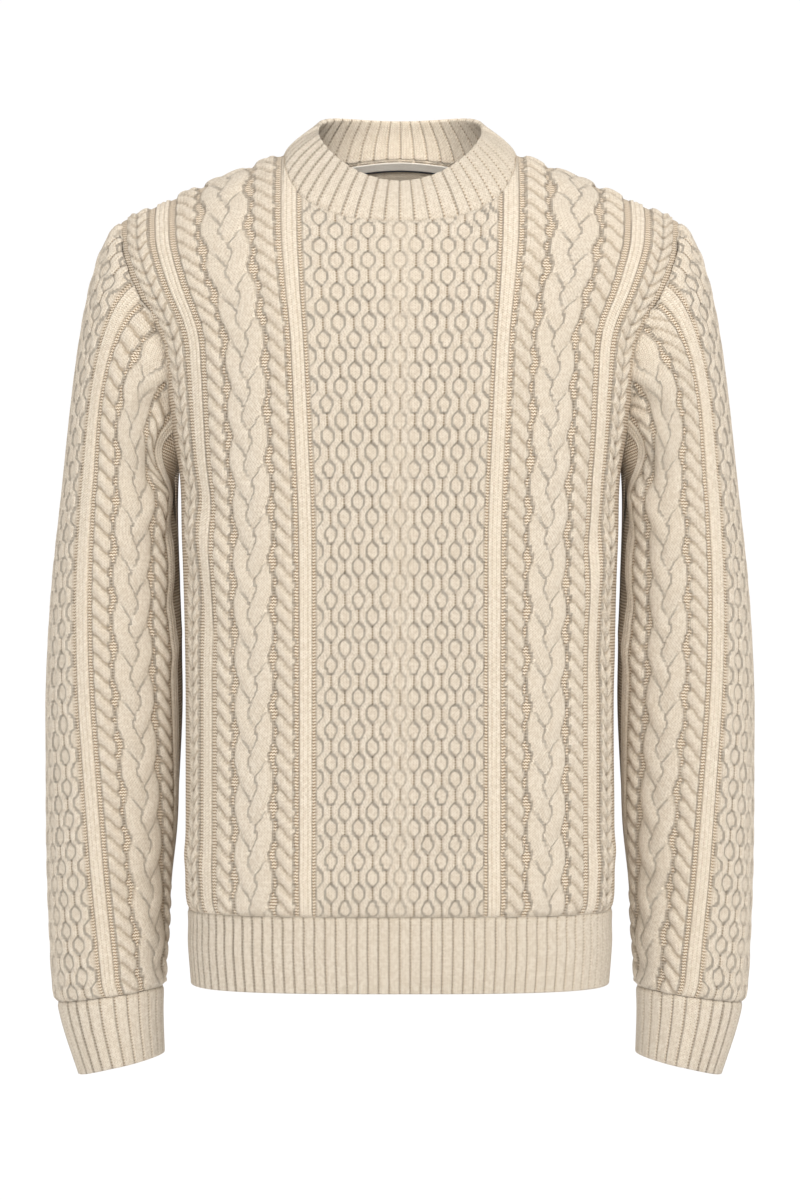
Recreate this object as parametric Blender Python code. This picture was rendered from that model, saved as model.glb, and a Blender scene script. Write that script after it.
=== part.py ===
"""Cable knit crew-neck sweater in its worn, hollow form.

Metres, +Z up, front towards -Y, the wearer's left towards +X. The origin is midway between the high
shoulder points, where the collar meets the shoulder seams and the garment hangs from its wearer.

Every piece of cloth is one closed wall: raised knitting outside, a plain surface inside, and a rim that
joins them along the cut edges. A piece is described by wale lines, which run up the cloth like the
columns of stitches do. The position across the cloth is the wale coordinate u, and the position up a
wale line is the distance t from its lower edge, so the cables keep their real length everywhere.
"""

import math

import bmesh
import bpy
import numpy as np

# ---------------------------------------------------------------- driving sizes, metres
WALL = 0.0022  # cloth under the raised stitches
SEAM_GAP = 0.0003
ARMHOLE_GAP = 0.0010
NECK_GAP = 0.0009
FAR_SEAM_FADE = 0.004  # the raised stitches sink into a seam over this distance

HEM_SEAM_Z = -0.612
HEM_Z = -0.672
UNDERARM_Z = -0.250

SECTION_POWER = 3.0  # rounded-box power of the horizontal sections
TORSO = np.array(
    [  # z, half width, front depth, back depth
        (-0.672, 0.1692, 0.1040, 0.0985),
        (-0.640, 0.1716, 0.1065, 0.1010),
        (-0.614, 0.1722, 0.1070, 0.1015),
        (-0.606, 0.1742, 0.1092, 0.1035),
        (-0.590, 0.1752, 0.1103, 0.1045),
        (-0.540, 0.1750, 0.1102, 0.1042),
        (-0.443, 0.1750, 0.1100, 0.1038),
        (-0.361, 0.1763, 0.1100, 0.1035),
        (-0.312, 0.1780, 0.1105, 0.1038),
        (-0.250, 0.1810, 0.1105, 0.1045),
        (-0.225, 0.1860, 0.1105, 0.1045),
        (-0.200, 0.1905, 0.1105, 0.1045),
        (-0.172, 0.1970, 0.1100, 0.1045),
        (-0.149, 0.2055, 0.1100, 0.1045),
        (-0.137, 0.2130, 0.1100, 0.1045),
        (-0.115, 0.2280, 0.1100, 0.1045),
        (-0.099, 0.2360, 0.1100, 0.1045),
        (-0.079, 0.2400, 0.1100, 0.1045),
        (0.060, 0.2400, 0.1100, 0.1045),
    ]
)
BODY_WIDTH, FRONT_DEPTH, BACK_DEPTH = 1, 2, 3  # columns of TORSO
ARMHOLE = np.array(
    [  # z, x of the armhole seam
        (-0.250, 0.1810),
        (-0.225, 0.1845),
        (-0.200, 0.1870),
        (-0.172, 0.1885),
        (-0.160, 0.1905),
        (-0.149, 0.1935),
        (-0.137, 0.1990),
        (-0.115, 0.2116),
        (-0.099, 0.2190),
        (-0.079, 0.2255),
        (-0.054, 0.2280),
    ]
)
STRIP_END_Z = -0.160  # from here up the plain strip beside the armhole keeps its width
FAN = np.array(
    [  # z, how far the honeycomb spreads towards the chest
        (-0.700, 1.00),
        (-0.330, 1.00),
        (-0.200, 1.07),
        (-0.065, 1.18),
        (0.060, 1.20),
    ]
)

SHOULDER_SLOPE = 0.43
SHOULDER_ROUND = 0.050  # the shoulder line levels off over this distance at the neck
SHOULDER_CROWN = 0.1149
FRONT_CAP = 0.250  # height over which the front leans back to the shoulder seam
BACK_CAP = 0.110

NECK_HALF_WIDTH = 0.095
NECK_FRONT_Z = -0.058
NECK_BACK_Z = 0.008
NECK_POWER = 0.55  # how square the neckline runs round from the middle to the shoulder

COLLAR_TOP = (0.068, 0.058, 0.058)  # half width, reach to the front, reach to the back
COLLAR_TOP_Z = (-0.025, 0.025, 0.038)  # front, side, back
COLLAR_BULGE = 0.0022
COLLAR_SETTLE = 0.35  # the collar leans like the body over this share of its height
COLLAR_RIBS = 50

LOOP_MID_Z, LOOP_HALF_HEIGHT = -0.152, 0.098
SLEEVE_START_Z = -0.280  # below this the sleeve's sections are level
SLEEVE_END_Z = -0.6845
SLEEVE = np.array(
    [  # z, centre x, half width, centre y, half depth
        (-0.742, 0.2295, 0.0340, 0.0160, 0.0300),
        (-0.700, 0.2370, 0.0405, 0.0160, 0.0365),
        (-0.6860, 0.2385, 0.0425, 0.0160, 0.0385),
        (-0.6800, 0.2392, 0.0435, 0.0160, 0.0400),
        (-0.656, 0.2399, 0.0451, 0.0160, 0.0415),
        (-0.623, 0.2395, 0.0475, 0.0160, 0.0440),
        (-0.590, 0.2391, 0.0492, 0.0158, 0.0465),
        (-0.541, 0.2366, 0.0524, 0.0155, 0.0500),
        (-0.492, 0.2350, 0.0540, 0.0150, 0.0535),
        (-0.443, 0.2340, 0.0550, 0.0140, 0.0560),
        (-0.410, 0.2335, 0.0543, 0.0130, 0.0575),
        (-0.344, 0.2321, 0.0513, 0.0105, 0.0595),
        (-0.280, 0.2301, 0.0459, 0.0070, 0.0600),
    ]
)
CENTRE_X, HALF_ACROSS, CENTRE_Y, HALF_DEEP = 1, 2, 3, 4  # columns of SLEEVE
SLEEVE_POWER = 2.15
SLEEVE_TWIST = np.array(
    [  # z, degrees that the outer line turns to the front
        (-0.742, 25.0),
        (-0.684, 23.0),
        (-0.410, 10.0),
        (-0.280, 5.0),
    ]
)
CAP_TWIST = 5.0  # degrees left where the sleeve starts to lean into the armhole
SLEEVE_FAN = np.array(
    [  # wale coordinate, degrees round the armhole where it ends
        (0.000, 0),
        (0.045, 36),
        (0.0775, 63),
        (0.111, 113),
        (0.130, 135),
        (0.175, 180),
    ]
)
TIP_LEAVE = (0.090, 0.0, -0.038)  # how the sleeve leaves the armhole at the shoulder tip
UNDERARM_LEAVE = (0.009, 0.0, -0.026)
LEAVE_FLARE = 0.012  # and how far it swells to the front and back between the two
WRIST_Z = -0.56  # from here down the sections start to tilt
CUFF_TILT_TOP, CUFF_TILT_END = 0.0065, 0.0085  # the outer side of the wrist hangs lower by this
CUFF_SEAM_Z, CUFF_Z = SLEEVE_END_Z - SEAM_GAP, -0.7415
CUFF_RIBS = 26
HEM_RIBS = 56  # on each panel

# strips inside the back neck: low and high edge below the neckline, half length, lift off the back, thickness
TAPE = (0.0100, 0.0012, 0.080, 0.0010, 0.0008)
TAPE_EDGE = (0.0116, 0.0103, 0.080, 0.0010, 0.0008)
LABEL = (0.0440, 0.0210, 0.011, 0.0028, 0.0006)

# ---------------------------------------------------------------- the stitch pattern
# periods run up the cloth, pitches and halves across it
HONEY_PITCH, HONEY_PERIOD, HONEY_SWAY = 0.01089, 0.0258, 0.0026
HONEY_RAISE, HONEY_STRAND = 0.0028, 0.0036
ROPE_PERIOD, ROPE_HALF = 0.0149, 0.0079
ROPE_DROP, LOBE_DROP = 0.0100, 0.0060  # how far a crease and a strand's crest run down across the rope
ROPE_RAISE, ROPE_LIFT = 0.0024, 0.0009  # a strand's height, and what it rises and sinks by at a crossing
ROPE_SWAY, ROPE_STRAND = 0.42, 0.58  # shares of the rope's half width
PLAIT_PERIOD, PLAIT_HALF = 0.0392, 0.0160
PLAIT_RAISE, PLAIT_LIFT = 0.0027, 0.0010
PLAIT_SWAY, PLAIT_STRAND = 0.0095, 0.0064
DOUBLE_PERIOD, DOUBLE_HALF = 0.0121, 0.0098
DOUBLE_SHARE = 0.85  # of a rope's height
RIB_RAISE, RIB_HALF, RIB_EDGE = 0.0018, 0.0056, 0.0018
BAND_RAISE = 0.0016

BODY_STRANDS, SLEEVE_STRANDS = 6, 4  # honeycomb strands on each side of the middle
BODY_HONEY = 0.0653
BODY_MOTIFS = (  # kind, wale coordinate of the middle
    ("rib", 0.0744),
    ("rope", 0.0907),
    ("plait", 0.1170),
    ("rope", 0.1433),
    ("rib", 0.1604),
    ("double", 0.1804),
)
DOUBLE_OUTER = 0.1905
EDGE_U = DOUBLE_OUTER + 0.008
SIDE_U = 0.2420
PAST_EDGE_U = EDGE_U + 0.00001  # the first wale that the armhole cuts short

SLEEVE_HONEY = SLEEVE_STRANDS * HONEY_PITCH
SLEEVE_MOTIFS = (
    ("rib", 0.0535),
    ("rope", 0.0700),
    ("plait", 0.0960),
    ("rope", 0.1220),
    ("rib", 0.1380),
)
SLEEVE_U = 0.175

# ---------------------------------------------------------------- wale lines of plain cloth
BODY_STRIP = (EDGE_U, 0.2070, 0.2200, SIDE_U)
BODY_INSIDE = (0.0, 0.016, 0.031, 0.045, 0.058, 0.070, 0.125, 0.165)
SLEEVE_STRIP = (0.1560, SLEEVE_U)
SLEEVE_INSIDE = (0.0, 0.020, 0.040, 0.060, 0.080, 0.100, 0.120, 0.138)

# ---------------------------------------------------------------- how finely the solids follow it
PLAIN_STEP, INNER_STEP = 0.105, 0.150
FIRST_STEP = 0.014  # above the lower edge
ROUND_OFF, ROUND_SHARE = 0.16, 0.4  # the upper stretch that rounds off to its seam, at most
PLAIN_ROUND = (0.68, 0.40, 0.16, 0.0)  # and the shares of it at which a line bends
INNER_ROUND = (0.62, 0.34, 0.12, 0.0)
BEFORE_EDGE, EDGE_STEP = 0.012, 0.0075
EDGE_SAG = 0.00015
HEM_INSIDE, CUFF_INSIDE, COLLAR_INSIDE = 24, 20, 48  # lines on the inside of each band
TAPE_LINES, LABEL_LINES = 13, 3
CREASE_CLEAR, END_CLEAR = 0.003, 0.002  # no crease nearer than this to the end of a rope or a gutter
RIDGE_SHARE = 0.45  # of the rope's half width, to each end of a crest
SIDE_SHARE = 0.55  # of a motif's half width, to the lines beside its middle
KEY_STEP = 0.000001  # orders the points of one wale line that lie on the armhole
DENSE_U, DENSE_T = 0.0025, 360
BESIDE = 0.0005  # the slope across a wale is read this far to each side
UP_STEP, TURN_STEP = 0.004, 0.01  # and the slopes of a sleeve and of a band over this height and angle
CUFF_SPLIT, COLLAR_SPLIT = 0.004, 0.0004  # half the seam of a cuff, in radians, and of the collar, as a share


def lookup(table, column, at):
    """A smooth curve through one column of a table whose first column rises."""
    x, y = table[:, 0], table[:, column]
    slope = np.gradient(y, x)
    rise = np.diff(y) / np.diff(x)
    flat = np.r_[False, rise[:-1] * rise[1:] <= 0, False]
    slope = np.where(flat, 0.0, slope)
    at = np.clip(at, x[0], x[-1])
    i = np.clip(np.searchsorted(x, at) - 1, 0, len(x) - 2)
    step = x[i + 1] - x[i]
    f = (at - x[i]) / step
    return (
        (2 * f**3 - 3 * f**2 + 1) * y[i]
        + (f**3 - 2 * f**2 + f) * step * slope[i]
        + (3 * f**2 - 2 * f**3) * y[i + 1]
        + (f**3 - f**2) * step * slope[i + 1]
    )


def smooth(f):
    f = np.clip(f, 0.0, 1.0)
    return f * f * (3 - 2 * f)


def dome(distance, radius):
    return np.sqrt(np.clip(1 - (distance / radius) ** 2, 0, 1))


def swing(angle, sharpness=0.6):
    """A sine with flatter ends: a strand that crosses quickly and then runs on beside its neighbour."""
    s = np.sin(angle)
    return s * math.sqrt(1 + sharpness**2) / np.sqrt(s**2 + sharpness**2)


def twist(x, t, half, period, lean):
    """Raised height of a two-strand rope; lean +1 crosses from upper left to lower right."""
    reach, strand = ROPE_SWAY * half, ROPE_STRAND * half
    height = np.zeros(np.broadcast(x, t).shape)
    for start in (0.0, math.pi):
        turn = -math.pi * t / period + start
        lift = ROPE_LIFT * np.cos(turn)
        height = np.maximum(height, (ROPE_RAISE + lift) * dome(x - lean * reach * swing(turn), strand))
    return height


def honeycomb(x, t):
    strand = np.floor(x / HONEY_PITCH)
    height = np.zeros(np.broadcast(x, t).shape)
    for k in (strand - 1, strand, strand + 1):
        way = 1 - 2 * np.mod(k, 2)
        centre = (k + 0.5) * HONEY_PITCH + way * HONEY_SWAY * swing(2 * math.pi * t / HONEY_PERIOD)
        height = np.maximum(height, HONEY_RAISE * dome(x - centre, HONEY_STRAND))
    return height


def plait(x, t):
    height = np.zeros(np.broadcast(x, t).shape)
    for k in range(3):
        turn = -2 * math.pi * (t / (3 * PLAIT_PERIOD) + k / 3)
        lift = -PLAIT_LIFT * np.sin(2 * turn)
        height = np.maximum(height, (PLAIT_RAISE + lift) * dome(x - PLAIT_SWAY * np.sin(turn), PLAIT_STRAND))
    return height


def double(x, t):
    """Two mirrored ropes side by side, whose strands meet in a row of V shapes."""
    half = DOUBLE_HALF / 2
    inner = twist(x + half, t, half, DOUBLE_PERIOD, 1)
    outer = twist(x - half, t, half, DOUBLE_PERIOD, -1)
    return DOUBLE_SHARE * np.maximum(inner, outer)


def rib(x):
    return RIB_RAISE * smooth((RIB_HALF - np.abs(x)) / RIB_EDGE)


def raised(u, t, honey, motifs, hand):
    """Height of the knitting over its purl ground at wale coordinate u and distance t up the wale. hand is
    +1 where u grows to the right of someone looking at the cloth, so that every rope twists the same way."""
    height = np.where(np.abs(u) <= honey + 0.001, honeycomb(u, t), 0.0)
    for kind, middle in motifs:
        for side in (-1, 1):
            x = u - side * middle
            if kind == "rib":
                more = rib(x)
            elif kind == "rope":
                more = twist(x, t, ROPE_HALF, ROPE_PERIOD, hand)
            elif kind == "plait":
                more = plait(side * x, t)
            else:
                more = double(x, t)
            height = np.maximum(height, more)
    return height


def between_nodes(grid, i, j, f, g):
    """A value of a grid at the shares f and g of the way on from its node i, j."""
    near = (1 - g) * grid[i, j] + g * grid[i, j + 1]
    far = (1 - g) * grid[i + 1, j] + g * grid[i + 1, j + 1]
    return (1 - f) * near + f * far


# ---------------------------------------------------------------- the torso's surface
class Torso:
    """Horizontal sections are rounded boxes, measured round from the centre line. Towards the shoulder
    line the front and back lean in until they meet at the shoulder seam."""

    def __init__(self, side):
        self.side = side  # -1 front, +1 back
        self.levels = np.linspace(HEM_Z, 0.060, 260)
        turn = np.linspace(0, math.pi / 2, 500)
        width = lookup(TORSO, BODY_WIDTH, self.levels)[:, None]
        depth = lookup(TORSO, FRONT_DEPTH if side < 0 else BACK_DEPTH, self.levels)[:, None]
        x = width * np.sin(turn) ** (2 / SECTION_POWER)
        y = depth * np.cos(turn) ** (2 / SECTION_POWER)
        step = np.hypot(np.diff(x, axis=1), np.diff(y, axis=1))
        arc = np.concatenate([np.zeros((len(x), 1)), np.cumsum(step, axis=1)], axis=1)
        self.length = arc[:, -1]
        share = np.linspace(0, 1, 240)
        self.x = np.array([np.interp(share * a[-1], a, row) for a, row in zip(arc, x)])
        self.y = np.array([np.interp(share * a[-1], a, row) for a, row in zip(arc, y)])
        seam = lookup(ARMHOLE, 1, self.levels)
        at_seam = np.array([np.interp(s, row, a) for s, row, a in zip(seam, x, arc)])
        self.edge = np.where(self.levels < UNDERARM_Z, self.length, at_seam)
        strip_below = self.length - (SIDE_U - DOUBLE_OUTER)
        strip_above = self.edge - (EDGE_U - DOUBLE_OUTER)
        at_underarm = np.interp(UNDERARM_Z, self.levels, strip_below)
        at_strip_end = np.interp(STRIP_END_Z, self.levels, strip_above)
        between = np.interp(self.levels, (UNDERARM_Z, STRIP_END_Z), (at_underarm, at_strip_end))
        above = np.where(self.levels < STRIP_END_Z, np.minimum(between, strip_above), strip_above)
        self.outer = np.where(self.levels < UNDERARM_Z, strip_below, above)
        self.corner = self.neck_corner()

    def place(self, u, z):
        """x and y on the surface, before the lean towards the shoulder, for u of zero or more."""
        length = np.interp(z, self.levels, self.length)
        outer = np.interp(z, self.levels, self.outer)
        honey = BODY_HONEY * lookup(FAN, 1, z)
        between = honey + (u - BODY_HONEY) / (DOUBLE_OUTER - BODY_HONEY) * (outer - honey)
        beyond = np.where(u < DOUBLE_OUTER, between, outer + u - DOUBLE_OUTER)
        arc = np.where(u < BODY_HONEY, u * honey / BODY_HONEY, beyond)
        row = (z - self.levels[0]) / (self.levels[1] - self.levels[0])
        col = np.clip(arc / length, 0, 1) * (self.x.shape[1] - 1)
        i = np.clip(np.floor(row).astype(int), 0, len(self.levels) - 2)
        j = np.clip(np.floor(col).astype(int), 0, self.x.shape[1] - 2)
        return [between_nodes(grid, i, j, row - i, col - j) for grid in (self.x, self.y)]

    def point(self, u, z):
        x, y = self.place(u, z)
        over = lean_share(x, z, self.side)
        y = y * np.sqrt(np.clip(1 - over**2, 0, 1))
        return np.stack([x, self.side * (y + SEAM_GAP / 2), z], axis=-1)

    def top(self, u):
        """Height where each wale line ends, at the neckline, the shoulder seam or the armhole."""
        low, high = np.full(u.shape, -0.15), np.full(u.shape, 0.06)
        for _ in range(50):
            z = (low + high) / 2
            x = self.place(u, z)[0]
            above = z > neck_or_shoulder(x, self.side)
            low, high = np.where(above, low, z), np.where(above, z, high)
        beside = (self.levels > UNDERARM_Z - 0.003) & (self.levels < STRIP_END_Z)
        strip = np.minimum.accumulate((self.edge - self.outer)[beside])
        cut = np.interp(-(u - DOUBLE_OUTER), -strip, self.levels[beside])
        return np.where(u > EDGE_U + 1e-6, cut, low)

    def neck_corner(self):
        """Wale coordinate where the neckline meets the shoulder seam."""
        u = np.linspace(0.06, 0.11, 400)
        x = self.place(u, self.top(u))[0]
        return float(np.interp(NECK_HALF_WIDTH, x, u))


def shoulder_line(x):
    return SHOULDER_SLOPE * (SHOULDER_CROWN - np.sqrt(x**2 + SHOULDER_ROUND**2))


def lean_share(x, z, side):
    """0 where the cloth hangs straight, growing to 1 at the shoulder line."""
    cap = FRONT_CAP if side < 0 else BACK_CAP
    return np.clip(1 - (shoulder_line(x) - z) / cap, 0, 1)


def neck_or_shoulder(x, side):
    drop = shoulder_line(0.0) - (NECK_FRONT_Z if side < 0 else NECK_BACK_Z)
    return shoulder_line(x) - drop * np.clip(1 - (x / NECK_HALF_WIDTH) ** 2, 0, 1) ** NECK_POWER


def unit(v):
    return v / np.maximum(np.linalg.norm(v, axis=-1, keepdims=True), 1e-12)


class Cloth:
    """A surface sampled on wale lines: for each u, points and normals at even shares of its length."""

    def __init__(self, u, points, normals, start=None):
        self.u = u
        step = np.linalg.norm(np.diff(points, axis=1), axis=2)
        length = np.concatenate([np.zeros((len(u), 1)), np.cumsum(step, axis=1)], axis=1)
        if start is None:
            start = np.zeros(len(u), dtype=int)
        self.first = length[np.arange(len(u)), start]
        self.last = length[:, -1]
        share = np.linspace(0, 1, DENSE_T)
        self.points = np.empty((len(u), DENSE_T, 3))
        self.normals = np.empty((len(u), DENSE_T, 3))
        for k in range(len(u)):
            at = self.first[k] + share * (self.last[k] - self.first[k])
            for axis in range(3):
                self.points[k, :, axis] = np.interp(at, length[k], points[k, :, axis])
                self.normals[k, :, axis] = np.interp(at, length[k], normals[k, :, axis])

    def span(self, u):
        return np.interp(u, self.u, self.first), np.interp(u, self.u, self.last)

    def at(self, u, t):
        """Points and normals at each u and t."""
        u, t = np.broadcast_arrays(np.asarray(u, float), np.asarray(t, float))
        first, last = self.span(u)
        col = np.clip((t - first) / np.maximum(last - first, 1e-9), 0, 1) * (DENSE_T - 1)
        k = np.clip(np.searchsorted(self.u, u, side="right") - 1, 0, len(self.u) - 2)
        j = np.clip(np.floor(col).astype(int), 0, DENSE_T - 2)
        f = np.clip((u - self.u[k]) / (self.u[k + 1] - self.u[k]), 0, 1)[..., None]
        g = (col - j)[..., None]
        found = []
        for grid in (self.points, self.normals):
            near = (1 - g) * grid[k, j] + g * grid[k, j + 1]
            far = (1 - g) * grid[k + 1, j] + g * grid[k + 1, j + 1]
            found.append((1 - f) * near + f * far)
        return found[0], unit(found[1])


def torso_cloth(side):
    torso = Torso(side)
    half = np.unique(np.r_[np.arange(0, SIDE_U, DENSE_U), EDGE_U, PAST_EDGE_U, SIDE_U, torso.corner])
    top = torso.top(half)
    share = np.linspace(1, 0, 500) ** 1.7
    z = top[:, None] - share[None, :] * (top[:, None] - (HEM_SEAM_Z + SEAM_GAP / 2))
    wale = np.broadcast_to(half[:, None], z.shape)
    points = torso.point(wale, z)
    outward = torso.point(np.minimum(wale + BESIDE, SIDE_U), z)
    across = outward - torso.point(np.maximum(wale - BESIDE, 0), z)
    up = np.gradient(points, axis=1)
    normals = unit(np.cross(across, up))
    normals *= np.sign(side * normals[:1, 100:101, 1:2])
    level = smooth((z - HEM_SEAM_Z) / 0.010)
    normals[..., 2] *= level
    normals[0, :, 0] = 0
    normals[-1] = (1, 0, 0)
    normals[half >= torso.corner - 1e-9, -1, 1] = 0
    normals[half > EDGE_U, -1, 1] = normals[half > EDGE_U, -2, 1]
    normals = unit(normals)
    mirror = np.array([-1, 1, 1])
    return Cloth(
        np.r_[-half[:0:-1], half],
        np.concatenate([points[:0:-1] * mirror, points]),
        np.concatenate([normals[:0:-1] * mirror, normals]),
    )


# ---------------------------------------------------------------- the sleeve's surface
def armhole_point(angle):
    """On the armhole seam; angle 0 at the shoulder tip, 180 degrees at the underarm, front positive."""
    z = LOOP_MID_Z + LOOP_HALF_HEIGHT * np.cos(angle)
    out = np.zeros(angle.shape + (3,))
    for side in (-1, 1):
        here = (angle > 0) == (side < 0)
        x = lookup(ARMHOLE, 1, z)
        width = lookup(TORSO, BODY_WIDTH, z)
        depth = lookup(TORSO, FRONT_DEPTH if side < 0 else BACK_DEPTH, z)
        over = lean_share(x, z, side)
        y = depth * np.clip(1 - (x / width) ** SECTION_POWER, 0, 1) ** (1 / SECTION_POWER)
        y = y * np.sqrt(1 - over**2)
        out[here] = np.stack([x + ARMHOLE_GAP, side * y, z], axis=-1)[here]
    return out


def section_point(z, angle):
    """On the level section of the sleeve at z, which hangs a little lower outside towards the wrist."""
    cos, sin = np.cos(angle), np.sin(angle)
    power = 2 / SLEEVE_POWER
    x = lookup(SLEEVE, CENTRE_X, z) + lookup(SLEEVE, HALF_ACROSS, z) * np.sign(cos) * np.abs(cos) ** power
    y = lookup(SLEEVE, CENTRE_Y, z) - lookup(SLEEVE, HALF_DEEP, z) * np.sign(sin) * np.abs(sin) ** power
    wrist = smooth((WRIST_Z - z) / (WRIST_Z - SLEEVE_END_Z))
    below = np.clip((SLEEVE_END_Z - z) / (SLEEVE_END_Z - CUFF_Z), 0, 1)
    tilt = CUFF_TILT_TOP * wrist + (CUFF_TILT_END - CUFF_TILT_TOP) * below
    return np.stack([x, y, z - tilt * cos], axis=-1)


def sleeve_rings(levels, cap, angle):
    """Rings from the wrist up: level sections, then rings that turn until they lie in the armhole."""
    rings = [section_point(np.full(angle.shape, z), angle) for z in levels]
    start = armhole_point(angle)
    end = section_point(np.full(angle.shape, SLEEVE_START_Z), angle)
    below = section_point(np.full(angle.shape, SLEEVE_START_Z - UP_STEP), angle)
    out = (1 + np.cos(angle))[:, None] / 2
    flare = -LEAVE_FLARE * np.sin(angle)[:, None] * np.array([0, 1, 0])
    leave = out * np.array(TIP_LEAVE) + (1 - out) * np.array(UNDERARM_LEAVE) + flare
    reach = np.linalg.norm(end - start, axis=1, keepdims=True)
    arrive = unit(below - end) * reach
    for f in cap:
        rings.append(
            (2 * f**3 - 3 * f**2 + 1) * start
            + (f**3 - 2 * f**2 + f) * leave
            + (3 * f**2 - 2 * f**3) * end
            + (f**3 - f**2) * arrive
        )
    return np.array(rings)


def sleeve_cloth():
    levels = np.linspace(SLEEVE_END_Z + SEAM_GAP / 2, SLEEVE_START_Z, 150)
    cap = np.linspace(1, 0, 90)[1:]
    turn = np.linspace(-math.pi, math.pi, 721)
    u = np.unique(np.round(np.r_[np.arange(0, SLEEVE_U, DENSE_U), SLEEVE_U], 7))
    u = np.r_[-u[:0:-1], u]
    twist_at = np.radians(np.r_[lookup(SLEEVE_TWIST, 1, levels), CAP_TWIST * (1 - smooth(1 - cap))])
    blend = np.r_[np.ones(len(levels)), smooth(cap)]
    rings = []
    starts = np.zeros(len(u), dtype=int)
    halves = []
    for i, (lean, share) in enumerate(zip(twist_at, blend)):
        z = [levels[i]] if i < len(levels) else []
        f = [] if i < len(levels) else [cap[i - len(levels)]]
        ring = sleeve_rings(z, f, wrap(turn + lean))[0]
        arc = np.r_[0, np.cumsum(np.linalg.norm(np.diff(ring, axis=0), axis=1))]
        arc -= np.interp(0, turn, arc)
        halves.append(min(-arc[0], arc[-1]))
        limit = halves[-1] - SEAM_GAP / 2
        starts = np.where((np.abs(u) > limit) & (share > 0.999), i + 1, starts)
        by_arc = np.interp(np.clip(u, -limit, limit), arc, turn)
        by_fan = np.sign(u) * np.radians(np.interp(np.abs(u), SLEEVE_FAN[:, 0], SLEEVE_FAN[:, 1]))
        small = SEAM_GAP / 2 / max(limit, 1e-3) * math.pi
        by_fan = np.clip(by_fan, -math.pi + small, math.pi - small)
        at = share * by_arc + (1 - share) * by_fan
        rings.append(np.stack([np.interp(at, turn, ring[:, axis]) for axis in range(3)], axis=-1))
    points = np.array(rings).transpose(1, 0, 2)
    normals = sleeve_normals(points, u, starts)
    return Cloth(u, points, normals, starts)


def wrap(angle):
    return (angle + math.pi) % (2 * math.pi) - math.pi


def sleeve_normals(points, u, starts):
    """Outward normals, read across the rings where wale lines have run out at the seam."""
    across = np.zeros_like(points)
    across[1:-1] = points[2:] - points[:-2]
    across[0], across[-1] = points[1] - points[0], points[-1] - points[-2]
    short = np.linalg.norm(across, axis=2) < 1e-4
    for i in range(points.shape[1]):
        good = np.flatnonzero(~short[:, i])
        for k in np.flatnonzero(short[:, i]):
            across[k, i] = across[good[np.argmin(np.abs(good - k))], i]
    up = np.gradient(points, axis=1)
    return unit(np.cross(up, across))


# ---------------------------------------------------------------- walls from wale lines
class Line:
    """Points up one wale line."""

    def __init__(self, u, t, points):
        self.u, self.t, self.points = u, np.asarray(t), points
        self.crests = None
        self.tips = []  # wale coordinates and points of the upper edge between this line and the next
        self.bare = None  # from this distance up there is no cloth on the side away from the centre line


def stitched(first, first_keys, second, second_keys):
    """Triangles between two rows of vertices, walked upwards together."""
    i = j = 0
    faces = []
    while i < len(first) - 1 or j < len(second) - 1:
        if j == len(second) - 1 or (i < len(first) - 1 and first_keys[i + 1] <= second_keys[j + 1]):
            faces.append((first[i], second[j], first[i + 1]))
            i += 1
        else:
            faces.append((first[i], second[j], second[j + 1]))
            j += 1
    return faces


def roped(mesh, left, right, crests):
    """Triangles of a rope between two gutters: a crest between each two creases, which run at the ground.
    A crest is the two ends of a ridge or a single point."""
    faces = [(left[0], right[0], left[1]), (left[1], right[0], right[1])]
    for i, crest in enumerate(crests, start=1):
        ridge = [mesh.verts.new(point) for point in crest]
        a, b = ridge[0], ridge[-1]
        faces += [(left[i], a, left[i + 1]), (right[i], right[i + 1], b)]
        faces += [(left[i], right[i], b), (left[i], b, a)]
        faces += [(left[i + 1], a, b), (left[i + 1], b, right[i + 1])]
    return faces


def share_of(values):
    values = np.asarray(values, float)
    return (values - values[0]) / max(values[-1] - values[0], 1e-9)


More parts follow.
